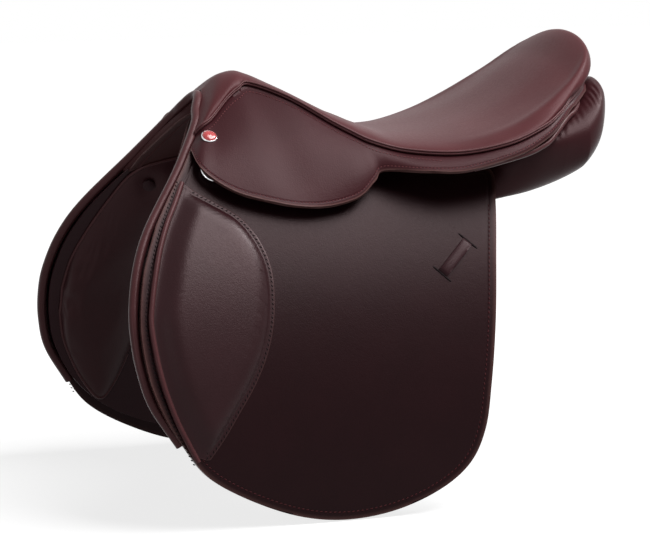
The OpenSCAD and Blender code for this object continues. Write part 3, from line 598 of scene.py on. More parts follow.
def seatAt(u, t):
    s = rowAt(stations, u)
    f = abs(t)
    power = lerp(s[7], 1, smoothStep((u - lastStation + seat["rearEase"]) / seat["rearEase"]))
    rise, run = (max(0.0, 1 - f ** k) ** power for k in s[5:7])
    return Vector((lerp(s[0], s[3], run), s[1] * t, lerp(s[2] + weltRoom, s[4], rise) + crestAt(u, t)))


def seatNormal(u, t):
    du, dt = seat["probe"]
    a = seatAt(min(lastStation, u + du), t) - seatAt(max(0, u - du), t)
    b = seatAt(u, min(1, t + dt)) - seatAt(u, max(-1, t - dt))
    return a.cross(b).normalized()


# a flat grid, doubled into a closed sheet; the two layers are then placed by the caller
def doubledGrid(across, along, *marks):
    bm = bmesh.new()
    for name in ("edge", *marks):
        bm.verts.layers.float.new(name)
    bmesh.ops.create_grid(bm, x_segments=across, y_segments=along, size=0.5)
    inner = set(bm.verts)
    bmesh.ops.extrude_face_region(bm, geom=bm.faces[:], use_keep_orig=True)
    spots = {v: (v.co.x + 0.5, v.co.y + 0.5, v in inner) for v in bm.verts}
    return bm, spots


# where the seat's front edge is turned in behind the front roll
def facingAt(p, at):
    z = at.z - p["facingDrop"]
    y = min(abs(at.y), max(barrelY(p["rollFace"], z), p["facingNarrow"] * abs(at.y)))
    return Vector((rollX(z) + p["facingBehind"], math.copysign(y, at.y), z))


def makeSeat(p):
    rows, columns, hem = p["rows"], p["columns"], p["hem"]
    bm, spots = doubledGrid(rows + 2 * hem, columns + 2 * hem)
    for v, (a, b, inner) in spots.items():
        i = round(a * (rows + 2 * hem)) - hem
        j = round(b * (columns + 2 * hem)) - hem
        u = max(0, min(rows, i)) / rows * lastStation
        t = math.sin(math.radians(p["spread"]) * (2 * max(0, min(columns, j)) / columns - 1))
        at = seatAt(u, t)
        inwards = seatNormal(u, t) * (p["leather"] if inner else 0)
        side, front, back = (max(0, k) / hem * math.pi / 2 for k in (max(-j, j - columns), -i, i - rows))
        inX, inY = (p["hemIn"] * (1 - math.cos(k)) for k in (back, side))
        at -= Vector((inX, math.copysign(inY, t), 0))
        at.z -= p["hemDrop"] * max(math.sin(side), math.sin(back))
        if front:
            at = at.lerp(facingAt(p, at), front / math.pi * 2)
            at.x -= p["facingBulge"] * math.sin(2 * front)
        v.co = (at - inwards) * mm
    bmesh.ops.recalc_face_normals(bm, faces=bm.faces)
    return addPiece("seat", bm, seatLeather, 60)


dressed(makeSeat(seat), "saddle", "seat_hide", "seat_cover")
print("seat made")

welts = {"cord": 1.15, "apart": 1.1, "proud": 1.5, "points": 420, "end": 1.999}


def weltAt(s):
    if s <= 1:
        w = rowAt(stations, s * lastStation)
        return Vector((w[0], -w[1], w[2]))
    return seatAt(lastStation, s - 2) - Vector((0, 0, weltRoom))


def makeWelts(p):
    for label, side in (("Upper", 1), ("Lower", -1)):
        line = []
        for i in range(p["points"] + 1):
            s = p["end"] * i / p["points"]
            proud = weltAt(s) + skirtAt(s, 0) - skirtAt(s, 0, p["proud"])
            line.append((proud + Vector((0, 0, side * p["apart"]))) * mm)
        cord = tube("seatWelt" + label + "Near", line, p["cord"] * mm, weltLeatherAndSheen)
        dressedPair(cord, "saddle", "welt_hide", "seat_welt")


skirt = {
    "columns": 230, "end": 1.999, "leather": 3.5, "groove": 0.35, "stitchIn": 5.0,
    "edgeRows": (0, 1.3, 2.8, 4.2, 5.0, 5.8, 7.4, 10), "edgeMost": 0.45, "edgeWide": 2.6, "bodyRows": 26,
    "round": 1.2, "hemRows": 3, "hemIn": 3.0, "hemRise": 4.5, "swell": 1.2, "probe": 0.01,
    "pitch": 3.6, "stitch": 2.5, "thick": 1.0, "slant": 12, "topIn": 8.0,
    "seams": {"edge": (0.01, 1.9, -0.1), "top": (0.07, 0.62, 0.15)}, "seamSteps": 400,
    "fold": {"start": (-0.2005, -0.109, 0.034), "end": (-0.2013, -0.109, 0.024)},
}


def skirtEdgeAt(s):
    if s <= 1:
        w = rowAt(stations, s * lastStation)
        return Vector((w[8], -w[9], w[10]))
    e = stations[-1]
    w = weltAt(s)
    return w + Vector((e[8] - e[0], (e[9] / e[1] - 1) * w.y, e[10] - e[2]))


def skirtAt(s, v, depth=0.0):
    w = weltAt(s) - Vector((0, 0, weltRoom))
    e = skirtEdgeAt(s)
    swell = rowAt(stations, min(1, s) * lastStation)[11] * skirt["swell"]
    along = weltAt(min(skirt["end"], s + skirt["probe"])) - weltAt(max(0, s - skirt["probe"]))
    p = w.lerp(e, v) - Vector((0, swell * 4 * v * (1 - v), 0))
    return p - (e - w).cross(along).normalized() * depth


# distance from the skirt's lower edge, as a share of its drop
def skirtShare(s, fromEdge):
    drop = (skirtEdgeAt(s) - weltAt(s) + Vector((0, 0, weltRoom))).length
    return max(0.0, 1 - min(fromEdge, drop * skirt["edgeMost"]) / drop)


def makeSkirt(p):
    edge = p["edgeRows"]
    body = len(edge) - 1 + p["bodyRows"]
    count = body + p["hemRows"]
    bm, spots = doubledGrid(p["columns"], count)
    mark = bm.verts.layers.float["edge"]
    for v, (a, b, inner) in spots.items():
        s = a * p["end"]
        j = round((1 - b) * count)
        tuck = max(0, j - body) / p["hemRows"] * math.pi / 2
        if j < len(edge):
            share, gone = skirtShare(s, edge[j]), edge[j]
        else:
            share = skirtShare(s, edge[-1]) * (1 - (min(j, body) - len(edge) + 1) / p["bodyRows"])
            gone = farIn
        sunk = p["groove"] if gone == p["stitchIn"] and not inner else 0
        depth = (p["leather"] if inner else sunk) + p["hemIn"] * (1 - math.cos(tuck))
        v.co = (skirtAt(s, share, depth) + Vector((0, 0, p["hemRise"] * math.sin(tuck)))) * mm
        # the edge mark lightens the rim in the shader: rubbed wear, and partly a painted highlight
        v[mark] = max(0.0, 1 - gone / p["edgeWide"])
    roundOff(bm, p["round"])
    bmesh.ops.recalc_face_normals(bm, faces=bm.faces)
    return addPiece("skirtNear", bm, skirtLeather, 60)


def skirtStitches(p):
    bm = bmesh.new()
    for seam, (first, last, proud) in p["seams"].items():
        points, normals = [], []
        for i in range(p["seamSteps"] + 1):
            s = lerp(first, last, i / p["seamSteps"])
            v = skirtShare(s, p["stitchIn"])
            if seam == "top":
                v = p["topIn"] / (skirtEdgeAt(s) - weltAt(s)).length
            at = skirtAt(s, v)
            n = at - skirtAt(s, v, 1)
            points.append(at * mm + n.normalized() * proud * mm)
            normals.append(n)
        stitchRow(bm, points, normals, p)
    return addPiece("skirtStitchesNear", bm, redThread)


makeWelts(welts)
print("piping made")
bentPair(makeSkirt(skirt), "skirt", "skirt_hide", skirt["fold"], "skirt_top", "skirt")
bentPair(skirtStitches(skirt), "skirt", "skirt_hide", skirt["fold"])

# a rolled edge shows under the skirt behind the flap
rearRoll = {
    "from": 0.655, "to": 1.999, "in": 6.0, "below": (-4.0, 5.5), "over": 0.15,
    "radius": 3.1, "sides": 10, "points": 160,
}


def makeRearRoll(p):
    places = [lerp(p["from"], p["to"], i / p["points"]) for i in range(p["points"] + 1)]
    under = [lerp(*p["below"], smoothStep((s - p["from"]) / p["over"])) for s in places]
    line = [(skirtAt(s, 1, p["in"]) - Vector((0, 0, low))) * mm for s, low in zip(places, under)]
    roll = tube("rearRollNear", line, p["radius"] * mm, weltLeatherAndSheen, p["sides"])
    dressedPair(roll, "saddle", "welt_hide")


makeRearRoll(rearRoll)
print("skirts made")

# Flap: one sheet from the nailed head to the foot
flap = {
    "front": [(-273, -12), (-293, -52), (-303, -90), (-305, -122), (-300, -158), (-288, -190)],
    "foot": [(-272, -217), (-250, -246), (-212, -270), (-160, -291), (-110, -299), (-58, -294), (-10, -277),
             (23, -253), (41, -220)],
    "rear": [(51, -175), (62, -120), (74, -60), (86, -12)],
    "head": [(92, 24), (50, 26), (0, 31), (-60, 40), (-120, 56), (-165, 74), (-190, 74), (-212, 62),
             (-235, 35), (-257, 9), (-273, -12)],
    "barCut": (-113, 16, 112, 28, 8), "inner": 485.5, "outer": 490.0,
    "step": 4.0, "cell": 9.0, "wideCell": 14.0, "bendCell": 2.5, "bend": (-34, 10),
    "rings": ((0, 0), (1.6, 0), (4.6, 0), (6.9, 0), (7.7, -0.35), (8.5, 0), (10.5, 0)), "round": 1.4,
    "stitchIn": 7.7, "stitchSunk": 0.05, "pitch": 4.8, "stitch": 3.4, "thick": 1.2, "slant": 12,
    "stitchFrom": (-258, -228), "stitchTop": -8, "behindPad": -150,
    "fold": {"start": (0, -0.120, 0.004), "end": (0, -0.120, -0.028)},
}


# a closed flat line moved inwards by a distance, point for point
def movedIn(line, distance):
    out = []
    n = len(line)
    area = sum(line[i].x * line[(i + 1) % n].y - line[(i + 1) % n].x * line[i].y for i in range(n))
    turn = 1 if area > 0 else -1
    for i in range(n):
        t = (line[(i + 1) % n] - line[i - 1]).normalized()
        out.append(line[i] + Vector((-t.y, t.x)) * turn * distance)
    return out


def loopOf(bm, line):
    verts = [bm.verts.new((p.x, p.y, 0)) for p in line]
    edges = [bm.edges.new((verts[i - 1], verts[i])) for i in range(len(verts))]
    return verts, edges


# flat sheet in (x, s): rings along its outline, then a filled middle cut into cells
def flatSheet(outline, rings, holes, xCuts, sCuts):
    bm = bmesh.new()
    gone = bm.verts.layers.float.new("gone")
    lift = bm.verts.layers.float.new("lift")
    before = None
    for distance, height in rings:
        verts, edges = loopOf(bm, movedIn(outline, distance))
        for v in verts:
            v[gone], v[lift] = distance, height
        if before:
            bmesh.ops.bridge_loops(bm, edges=before + edges)
        before = edges
    fill = list(before)
    for hole in holes:
        verts, edges = loopOf(bm, hole)
        for v in verts:
            v[gone] = farIn
        fill += edges
    made = bmesh.ops.triangle_fill(bm, edges=fill, use_beauty=True)
    faces = [g for g in made["geom"] if isinstance(g, bmesh.types.BMFace)]
    for across, cuts in ((Vector((1, 0, 0)), xCuts), (Vector((0, 1, 0)), sCuts)):
        for c in cuts:
            live = [f for f in faces if f.is_valid]
            geom = set(live)
            for f in live:
                geom.update(f.edges)
                geom.update(f.verts)
            known = set(bm.verts)
            cut = bmesh.ops.bisect_plane(
                bm, geom=list(geom), dist=1e-4, plane_co=across * c, plane_no=across,
            )
            faces = list({g for g in cut["geom"] if isinstance(g, bmesh.types.BMFace)} | set(live))
            for v in bm.verts:
                if v not in known:
                    v[gone] = farIn
    return bm, gone, lift


# lays a flat sheet on the barrel between two radii and rounds its rim
def laidSheet(bm, gone, lift, inner, outer, roundness, height=None, edgeWidth=3.0):
    mark = bm.verts.layers.float.new("edge")
    below = set(bm.verts)
    bmesh.ops.extrude_face_region(bm, geom=bm.faces[:], use_keep_orig=True)
    for v in bm.verts:
        x, s = v.co.x, v.co.y
        r = inner if v in below else outer + v[lift] + (height(x, s) if height else 0)
        # the edge mark lightens the rim in the shader: rubbed wear, and partly a painted highlight
        v[mark] = max(0.0, 1 - v[gone] / edgeWidth)
        v.co = onBarrel(x, s, r)
    roundOff(bm, roundness)
    bmesh.ops.recalc_face_normals(bm, faces=bm.faces)


def roundedBox(x, z, length, width, radius, steps=6):
    c = flat(x, z)
    out = []
    for k, (sx, sy) in enumerate(((1, 1), (-1, 1), (-1, -1), (1, -1))):
        for i in range(steps + 1):
            q = math.radians(90 * k + 90 / steps * i)
            out.append(c + Vector((
                sx * (length / 2 - radius) + radius * math.cos(q),
                sy * (width / 2 - radius) + radius * math.sin(q),
            )))
    return out


def spread(low, high, step):
    count = max(1, round((high - low) / step))
    return [low + (high - low) * i / count for i in range(1, count)]


def reach(line, axis):
    return min(q[axis] for q in line), max(q[axis] for q in line)


flapSide = flatLine(flap["front"] + flap["foot"] + flap["rear"], 120)
flapHead = flatLine([flap["rear"][-1]] + flap["head"], 60)
flapOutline = evenly(flapSide + flapHead[1:-1], flap["step"], closed=True)


def makeFlap(p):
    lowS, highS = reach(flapOutline, 1)
    bendLow, bendHigh = (flat(0, z).y for z in p["bend"])
    sCuts = spread(lowS, bendLow, p["cell"]) + [bendLow]
    sCuts += spread(bendLow, bendHigh, p["bendCell"]) + [bendHigh]
    sCuts += spread(bendHigh, highS, p["cell"])
    xCuts = spread(*reach(flapOutline, 0), p["wideCell"])
    bm, gone, lift = flatSheet(flapOutline, p["rings"], [roundedBox(*p["barCut"])], xCuts, sCuts)
    laidSheet(bm, gone, lift, p["inner"], p["outer"], p["round"])
    return addPiece("flapNear", bm, flapLeather, 60)


def barrelRow(line, r):
    points = [onBarrel(q.x, q.y, r) for q in line]
    normals = [onBarrel(q.x, q.y, r + 10) - onBarrel(q.x, q.y, r) for q in line]
    return points, normals


# from the foot of the knee pad along the flap's foot and up its rear
def flapStitches(p):
    bm = bmesh.new()
    first, top = flat(*p["stitchFrom"]), flat(0, p["stitchTop"])
    inside = movedIn(flapOutline, p["stitchIn"])
    line = [q for q in inside if q.y < top.y and (q.x > p["behindPad"] or q.y < first.y)]
    start = min(range(len(line)), key=lambda i: (line[i] - first).length)
    line = line[start:] + line[:start]
    stitchRow(bm, *barrelRow(line, p["outer"] - p["stitchSunk"]), p)
    return addPiece("flapStitchesNear", bm, flapThread)


bentPair(makeFlap(flap), "flap", "flap_hide", flap["fold"], "flap_head", "flap")
bentPair(flapStitches(flap), "flap", "flap_hide", flap["fold"])
print("flaps made")

# Knee pad on the flap, from its tip under the skirt to its foot
kneePad = {
    "front": [(-236, 22), (-248, 4), (-261, -15), (-273, -38), (-283, -65), (-290, -90), (-292, -107),
              (-290, -135), (-285, -162), (-276, -190), (-266, -212), (-257, -230)],
    "rear": [(-248, -231), (-232, -212), (-216, -190), (-196, -162), (-181, -135), (-171, -107), (-166, -80),
             (-165, -60), (-168, -42), (-176, -24), (-189, -8), (-208, 4), (-225, 14), (-236, 22)],
    "base": 490.2, "skin": 0.3, "lip": 0.4, "groove": 3.0, "round": 0.4, "edgeWide": 0.5,
    "depth": 8.5, "rearRise": 18.0, "frontRise": 24.0, "steepness": 2.2, "fullness": 0.7,
    "step": 4.0, "cell": 5.0, "rings": ((0, 0), (1.0, 0), (2.2, 0), (3.2, 0), (3.9, 0), (5.2, 0), (7.5, 0)),
    "stitchIn": 2.0, "stitchProud": 0.05, "pitch": 4.6, "stitch": 3.0, "thick": 1.2, "slant": 36,
    "stitchFoot": (-252, -230), "stitchLean": 0.08,
}
padFront = flatLine(kneePad["front"], 80)
padRear = flatLine(kneePad["rear"], 80)
padLine = evenly(padFront[:-1] + padRear[:-1], kneePad["step"], closed=True)


# how far a point is from a line
def nearest(line, q):
    best = math.inf
    for a, b in zip(line, line[1:]):
        t = geometry.intersect_point_line(q, a, b)[1]
        best = min(best, (a.lerp(b, max(0, min(1, t))) - q).length)
    return best


# steep at the sewn rear, soft towards the piping in front
def padHeight(x, s):
    p = kneePad
    q = Vector((x, s))
    behind, ahead = nearest(padRear, q), nearest(padFront, q)
    lip = p["lip"] * smoothStep(1 - (behind - p["stitchIn"]) / p["groove"])
    steep = min(1.0, max(0.0, behind - p["stitchIn"] - p["groove"]) / p["rearRise"])
    soft = smoothStep(ahead / p["frontRise"])
    return p["skin"] + lip + p["depth"] * (1 - (1 - steep) ** p["steepness"]) ** p["fullness"] * soft


def makePad(p):
    xCuts, sCuts = (spread(*reach(padLine, axis), p["cell"]) for axis in (0, 1))
    bm, gone, lift = flatSheet(padLine, p["rings"], [], xCuts, sCuts)
    laidSheet(bm, gone, lift, p["base"], p["base"], p["round"], padHeight, p["edgeWide"])
    return addPiece("kneePadNear", bm, padLeather, 60)


# along the pad's rear only
def padStitches(p):
    bm = bmesh.new()
    foot = flat(*p["stitchFoot"])
    inside = movedIn(padLine, p["stitchIn"])
    line = [q for q in inside if q.x > foot.x + p["stitchLean"] * (q.y - foot.y)]
    stitchRow(bm, *barrelRow(line, p["base"] + p["skin"] + p["lip"] + p["stitchProud"]), p)
    return addPiece("padStitchesNear", bm, darkThreadAndSlitShade)


padNear, padOff = bentPair(makePad(kneePad), "flap", "flap_hide", flap["fold"], "knee_pad")
bentPair(padStitches(kneePad), "flap", "flap_hide", flap["fold"])
print("knee pads made")

# piping in front of the pad, with the stitched strip before it
ridge = {
    "radius": 2.7, "apart": 3.0, "lift": 1.9, "step": 4.0,
    "rowApart": 7.4, "rowProud": 0.05, "pitch": 4.6, "stitch": 2.9, "thick": 1.3, "slant": 36,
}


def makeRidge(p):
    front = evenly(padFront, p["step"])
    ahead = []
    for i in range(len(front)):
        t = (front[min(i + 1, len(front) - 1)] - front[max(i - 1, 0)]).normalized()
        ahead.append(Vector((t.y, -t.x)))
    points = [onBarrel(*(q + n * p["apart"]), flap["outer"] + p["lift"]) for q, n in zip(front, ahead)]
    cord = tube("flapWeltNear", points, p["radius"] * mm, weltLeatherAndSheen)
    bentPair(cord, "flap", "welt_hide", flap["fold"], "flap_welt")
    bm = bmesh.new()
    row = [q + n * p["rowApart"] for q, n in zip(front, ahead)]
    stitchRow(bm, *barrelRow(row, flap["outer"] + p["rowProud"]), p)
    bentPair(addPiece("weltStitchesNear", bm, darkThreadAndSlitShade), "flap", "welt_hide", flap["fold"])


makeRidge(ridge)

# strap over the flap for the end of the stirrup leather, tucked into two slits
keeper = {
    "x": 30.0, "z": -56.0, "turn": 44.0, "length": 47.0, "width": 11.0, "leather": 1.8, "round": 0.5,
    "columns": 24, "rows": 6, "gap": 0.2, "arch": 1.8, "tuck": 1.6, "tuckFrom": 0.9,
    # dark marks of painted shade for the two slits
    "slit": {"over": 2.0, "out": 0.4, "sunk": 0.1, "pitch": 13.0, "stitch": 13.0, "thick": 2.4, "slant": 0},
}


def makeKeeper(p):
    c = flat(p["x"], p["z"])
    q = math.radians(p["turn"])
    ahead, side = Vector((math.cos(q), math.sin(q))), Vector((-math.sin(q), math.cos(q)))
    bm, spots = doubledGrid(p["columns"], p["rows"])
    for v, (a, b, inner) in spots.items():
        along = (a - 0.5) * p["length"]
        f = c + ahead * along + side * (b - 0.5) * p["width"]
        end = abs(2 * a - 1)
        tuck = p["tuck"] * max(0, end - p["tuckFrom"]) / (1 - p["tuckFrom"])
        r = flap["outer"] + p["gap"] + p["arch"] * (1 - end ** 4) - tuck
        v.co = onBarrel(f.x, f.y, r + (0 if inner else p["leather"]))
    roundOff(bm, p["round"], segments=2, clamp=False)
    bmesh.ops.recalc_face_normals(bm, faces=bm.faces)
    dressedPair(addPiece("keeperNear", bm, strapLeather, 60), "flap", "strap_hide", "leather_keeper")
    # black marks at the strap's ends: painted shade in the two slits
    bm = bmesh.new()
    slit = p["slit"]
    for sign in (-1, 1):
        tip = c + ahead * sign * (p["length"] / 2 + slit["out"])
        line = [tip + side * (k / 8 - 0.5) * (p["width"] + slit["over"]) for k in range(9)]
        stitchRow(bm, *barrelRow(line, flap["outer"] - slit["sunk"]), slit)
    dressedPair(addPiece("keeperSlitsNear", bm, darkThreadAndSlitShade), "flap", "strap_hide")


makeKeeper(keeper)
print("piping and keepers made")


# CAD leather with its sharp corners taken off
def leatherCopy(name, material, corner, node):
    bm = cadCopy(node)
    bmesh.ops.join_triangles(bm, faces=bm.faces, angle_face_threshold=0.6, angle_shape_threshold=1.2)
    roundOff(bm, corner, segments=2, angle=50)
    return addPiece(name, bm, material, 45)


# the roll that runs over the pommel and down both fronts, as x, y and height on the off side
frontRoll = {
    "top": [(-190, 0, 100.5), (-193, 11, 97), (-199, 23, 87.5)],
    "side": [(-206, 74), (-235, 34), (-277, -18), (-296, -53), (-306, -89), (-308, -118), (-305, -148),
             (-296, -179), (-272, -217)],
    "radius": 5.0, "sides": 16, "points": 220, "depth": 478.0, "out": 8.0, "outFrom": (10, 62),
}


def makeFrontRoll(p):
    low, high = p["outFrom"]
    depths = [p["depth"] + p["out"] * smoothStep((z - low) / (high - low)) for x, z in p["side"]]
    off = p["top"] + [(x, barrelY(r, z), z) for (x, z), r in zip(p["side"], depths)]
    near = [(x, -y, z) for x, y, z in reversed(off)]
    line = [Vector(q) * mm for q in sampled(near[:-1] + off, p["points"])]
    roll = tube("frontRoll", line, p["radius"] * mm, weltLeatherAndSheen, p["sides"])
    dressed(roll, "saddle", "welt_hide", "front_welt")


makeFrontRoll(frontRoll)

# pieces under the flap: CAD node, finish, slot and how far the corners are rounded
underFlap = {
    "sweatFlap": ("sweat_flap", strapLeather, "strap_hide", 0.7),
    "pointPocket": ("point_pocket", strapLeather, "strap_hide", 0.6),
    "buckleGuard": ("buckle_guard", strapLeather, "strap_hide", 0.6),
    "girthStrapFront": ("girth_strap_front", strapLeather, "strap_hide", 0.5),
    "girthStrapMiddle": ("girth_strap_middle", strapLeather, "strap_hide", 0.5),
    "girthStrapRear": ("girth_strap_rear", strapLeather, "strap_hide", 0.5),
    "girthWebs": ("girth_webs", linenWeb, "web_linen", 0.3),
}
for name, (node, finish, slot, corner) in underFlap.items():
    dressedPair(leatherCopy(name + "Near", finish, corner, node + "_near"), "saddle", slot, node)

# lining of the arch, from its crown to the tops of the panels
lining = {
    "line": [(-140, 83), (-196, 83), (-206, 73), (-233, 34), (-241, 18), (-226, 25), (-212, 30), (-195, 34),
             (-175, 38), (-152, 41), (-140, 60)],
    "inner": 467.3, "outer": 469.3, "step": 5.0, "cell": 12.0, "across": (-240, -140),
    "rings": ((0, 0), (1.5, 0), (4, 0)), "round": 0.6,
}


def makeLining(p):
    turned = [(x, math.asin((z - barrel["level"]) / p["outer"])) for x, z in p["line"]]
    outline = evenly([Vector((x, barrel["radius"] * q)) for x, q in turned], p["step"], closed=True)
    xCuts, sCuts = (spread(*ends, p["cell"]) for ends in (p["across"], reach(outline, 1)))
    bm, gone, lift = flatSheet(outline, p["rings"], [], xCuts, sCuts)
    laidSheet(bm, gone, lift, p["inner"], p["outer"], p["round"])
    near = addPiece("gulletLiningNear", bm, liningLeather, 60)
    for piece in (near, offSide(near)):
        dressed(piece, "saddle", "panel_hide", "gullet_lining")


makeLining(lining)

# the leather turned round the front of the arch, from the lining to the front roll
archEdge = {
    "line": [(-190, 96), (-196, 84), (-206, 73), (-233, 34), (-241, 18)], "columns": 60, "rows": 6,
    "in": 466.4, "back": 9.0, "out": 480.0, "bulge": 2.0, "leather": 1.4,
}


def makeArchEdge(p):
    bm, spots = doubledGrid(p["columns"], p["rows"])
    line = sampled(p["line"], p["columns"])
    for v, (a, b, inner) in spots.items():
        x, z = line[round(a * p["columns"])]
        ends = ((x + p["back"], p["in"]), (rollX(z), p["out"]))
        inside, outside = (Vector((fx, -max(0.0, barrelY(r, z)), z)) for fx, r in ends)
        ahead = p["bulge"] * math.sin(math.pi * b) - (p["leather"] if inner else 0)
        v.co = (inside.lerp(outside, b) - Vector((ahead, 0, 0))) * mm
    bmesh.ops.recalc_face_normals(bm, faces=bm.faces)
    dressedPair(addPiece("archEdgeNear", bm, liningLeather, 60), "saddle", "panel_hide")


makeArchEdge(archEdge)

# single pieces, in the same way
singles = {
    "channelCover": ("channel_cover", liningLeather, "panel_hide", 0.4),
    "panelButtons": ("panel_buttons", strapLeather, "welt_hide", 0.8),
    "seatWebs": ("seat_webs", linenWeb, "web_linen", 0.2),
}
for name, (node, finish, slot, corner) in singles.items():
    dressed(leatherCopy(name, finish, corner, node), "saddle", slot, node)

# foam under the seat leather, kept clear of its dish and of the pommel
foamShape = {
    "sink": 6.5, "sinkFrom": -60.0, "sinkOver": 60.0,
    "headFrom": -110.0, "headOver": 40.0, "headNarrow": 0.16, "headSink": 4.0,
}


def makeFoam(p):
    bm = cadCopy("seat_foam")
    bmesh.ops.join_triangles(bm, faces=bm.faces, angle_face_threshold=0.8, angle_shape_threshold=1.6)
    obj = addPiece("seatFoam", bm, seatFoam, 180)
    for v in obj.data.vertices:
        x = v.co.x / mm
        head = smoothStep((p["headFrom"] - x) / p["headOver"])
        v.co.z -= p["sink"] * mm * smoothStep((x - p["sinkFrom"]) / p["sinkOver"])
        v.co.y *= 1 - p["headNarrow"] * head
        v.co.z -= p["headSink"] * mm * head
    smoothed(obj)
    return dressed(obj, "saddle", "seat_foam", "seat_foam")


makeFoam(foamShape)
print("other leather made")

# Panels: stuffed cushions, swollen by a short cloth run
# x, top, foot, depth, share of the rear cushion, and its seam's y and flare, at each station
panelRows = [
    [-290, -112, -138, 5, 0, 76, 0], [-284, -78, -168, 14, 0, 76, 0], [-270, -44, -200, 16, 0, 76, 0],
    [-255, -14, -224, 18, 0, 76, 0], [-240, 12, -238, 20, 0, 76, 0], [-226, 23, -222, 23, 0, 76, 0],
    [-212, 28, -190, 27, 0, 76, 0], [-195, 32, -140, 32, 0, 76, 0], [-175, 36, -80, 40, 0, 76, 0],
    [-155, 38, -36, 43, 0, 76, 0], [-135, 39, -15, 43, 0, 76, 0], [-95, 40, -9, 43, 0, 76, 0],
    [-20, 40, -9, 43, 0, 76, 0], [50, 42, -7, 43, 0, 80, 0], [76, 44, -7, 43, 0, 90, 10],
    [102, 48, -7, 46, 0.4, 100, 18], [135, 59, -3, 50, 0.9, 104, 22], [165, 72, 6, 50, 1, 94, 32],
    [190, 87, 18, 46, 1, 80, 42], [207, 101, 32, 40, 1, 67, 45], [218, 110, 48, 30, 1, 56, 41],
    [225, 110, 64, 20, 1, 49, 32], [229, 103, 80, 8, 1, 46, 16],
]
panel = {
    "out": 468.0, "knee": 15.0, "kneeFrom": (0.15, 0.35), "tall": 90.0, "topMost": 70.0, "rearFoot": 80.0,
    "rim": 0.12, "crown": (2.6, 0.55), "columns": 260, "frontPart": 0.4, "rows": 26,
    "pressure": 4.0, "frames": 20, "most": 3.5, "held": {"rim": 0.002, "end": 0.05, "outside": 15.3},
    "gathers": {
        "from": 15.0, "stop": 1.2, "seam": 6.0, "pitch": 8.5, "sway": 0.3, "wander": (0.05, 3.1, 0.7),
        "deep": 0.81, "deepVary": 0.45, "reach": 16.0, "reachVary": 10.0,
    },
    "creases": [(-64, -271, 30, 2.2), (-88, -281, 34, 2.4), (-118, -288, 26, 1.8), (-34, -262, 26, 1.6)],
    "creaseWide": 3.2, "creaseSlope": 0.25, "creaseLead": 5.0, "creaseOpen": 0.6,
    "button": (5.4, 0.06), "dimple": (13.0, 3.0),
    "piping": 1.8, "pipingTo": 9.0, "pipingFoot": 6.0, "pipingSteps": (40, 6, 60), "pipingStep": 4.0,
}
lastPanelRow = len(panelRows) - 1


# the gathered rear takes most of the columns
def panelRow(p, a):
    front = p["gathers"]["from"] * min(1.0, a / p["frontPart"])
    return front + (lastPanelRow - p["gathers"]["from"]) * max(0.0, a - p["frontPart"]) / (1 - p["frontPart"])


def panelAt(p, u, v, inner):
    x, top, foot, depth, rear, seam, flare = rowAt(panelRows, u)
    rear = max(0.0, min(1.0, rear))
    z = lerp(top, foot, v)
    boxy, blunt = p["crown"]
    full = max(p["rim"], max(0.0, 1 - abs(2 * v - 1) ** boxy) ** blunt)
    start, length = p["kneeFrom"]
    below = smoothStep((v - start) / length) if top - foot > p["tall"] else 0
    thin = lerp(depth, min(depth, p["knee"]), below)
    rearSide = lerp(seam, min(seam, p["rearFoot"]), smoothStep(v))
    side = lerp(barrelY(p["out"], min(z, p["topMost"])), rearSide, rear)
    slope = math.asin(min(1, (z - barrel["level"]) / p["out"])) * (1 - rear)
    out = side + (1 - inner) * rear * flare * full
    sunk = inner * full * thin
    return Vector((x, -(out - sunk * math.cos(slope)), z - sunk * math.sin(slope)))


# pressure swells the leather between its sewn rims
def swell(obj, p, held):
    rest = [v.co.copy() for v in obj.data.vertices]
    obj.vertex_groups.new(name="held").add(held, 1.0, "REPLACE")
    cloth = obj.modifiers.new("cloth", "CLOTH")
    s = cloth.settings
    s.quality = 5
    s.mass = 0.3
    s.tension_stiffness = s.compression_stiffness = 12
    s.shear_stiffness = 6
    s.bending_stiffness = 0.6
    s.use_pressure = True
    s.uniform_pressure_force = p["pressure"]
    s.vertex_group_mass = "held"
    s.effector_weights.gravity = 0
    cloth.point_cache.frame_start = 1
    cloth.point_cache.frame_end = p["frames"]
    for f in range(1, p["frames"] + 1):
        scene.frame_set(f)
    posed = obj.evaluated_get(bpy.context.evaluated_depsgraph_get()).data
    moved = [v.co.copy() for v in posed.vertices]
    obj.modifiers.remove(cloth)
    obj.vertex_groups.clear()
    scene.frame_set(1)
    for v, a, b in zip(obj.data.vertices, rest, moved):
        step = b - a
        v.co = a + step * min(1.0, p["most"] * mm / max(step.length, 1e-9))


# gathers under the rear seam, creases and a button's dimple at the front
def panelMarks(p, u, v, inner, arc):
    x, top, foot = rowAt(panelRows, u)[:3]
    z = lerp(top, foot, v)
    g = p["gathers"]
    deep = 0.0
    if not inner and u > g["from"]:
        scale, *place = g["wander"]
        wander = noise.noise(Vector((arc * scale, *place)))
        wave = 0.5 + 0.5 * math.cos(math.tau * (arc / g["pitch"] + g["sway"] * wander))
        below = v * (top - foot)
        fade = smoothStep(1 - below / (g["reach"] + g["reachVary"] * wander)) * smoothStep(below / g["seam"])
        fade *= smoothStep(u - g["from"]) * smoothStep((lastPanelRow - u) / g["stop"])
        deep += (g["deep"] + g["deepVary"] * wander) * wave * fade
    if inner:
        for level, front, length, sunk in p["creases"]:
            along = smoothStep(1 - (x - front) / length)
            along *= smoothStep((x - front) / p["creaseLead"] + p["creaseOpen"])
            deep += sunk * along * bell(z - level - p["creaseSlope"] * (x - front), p["creaseWide"])
        wide, sunk = p["dimple"]
        button = panelAt(p, *p["button"], 1)
        deep += sunk * bell((panelAt(p, u, v, 1) - button).length, wide)
    return deep


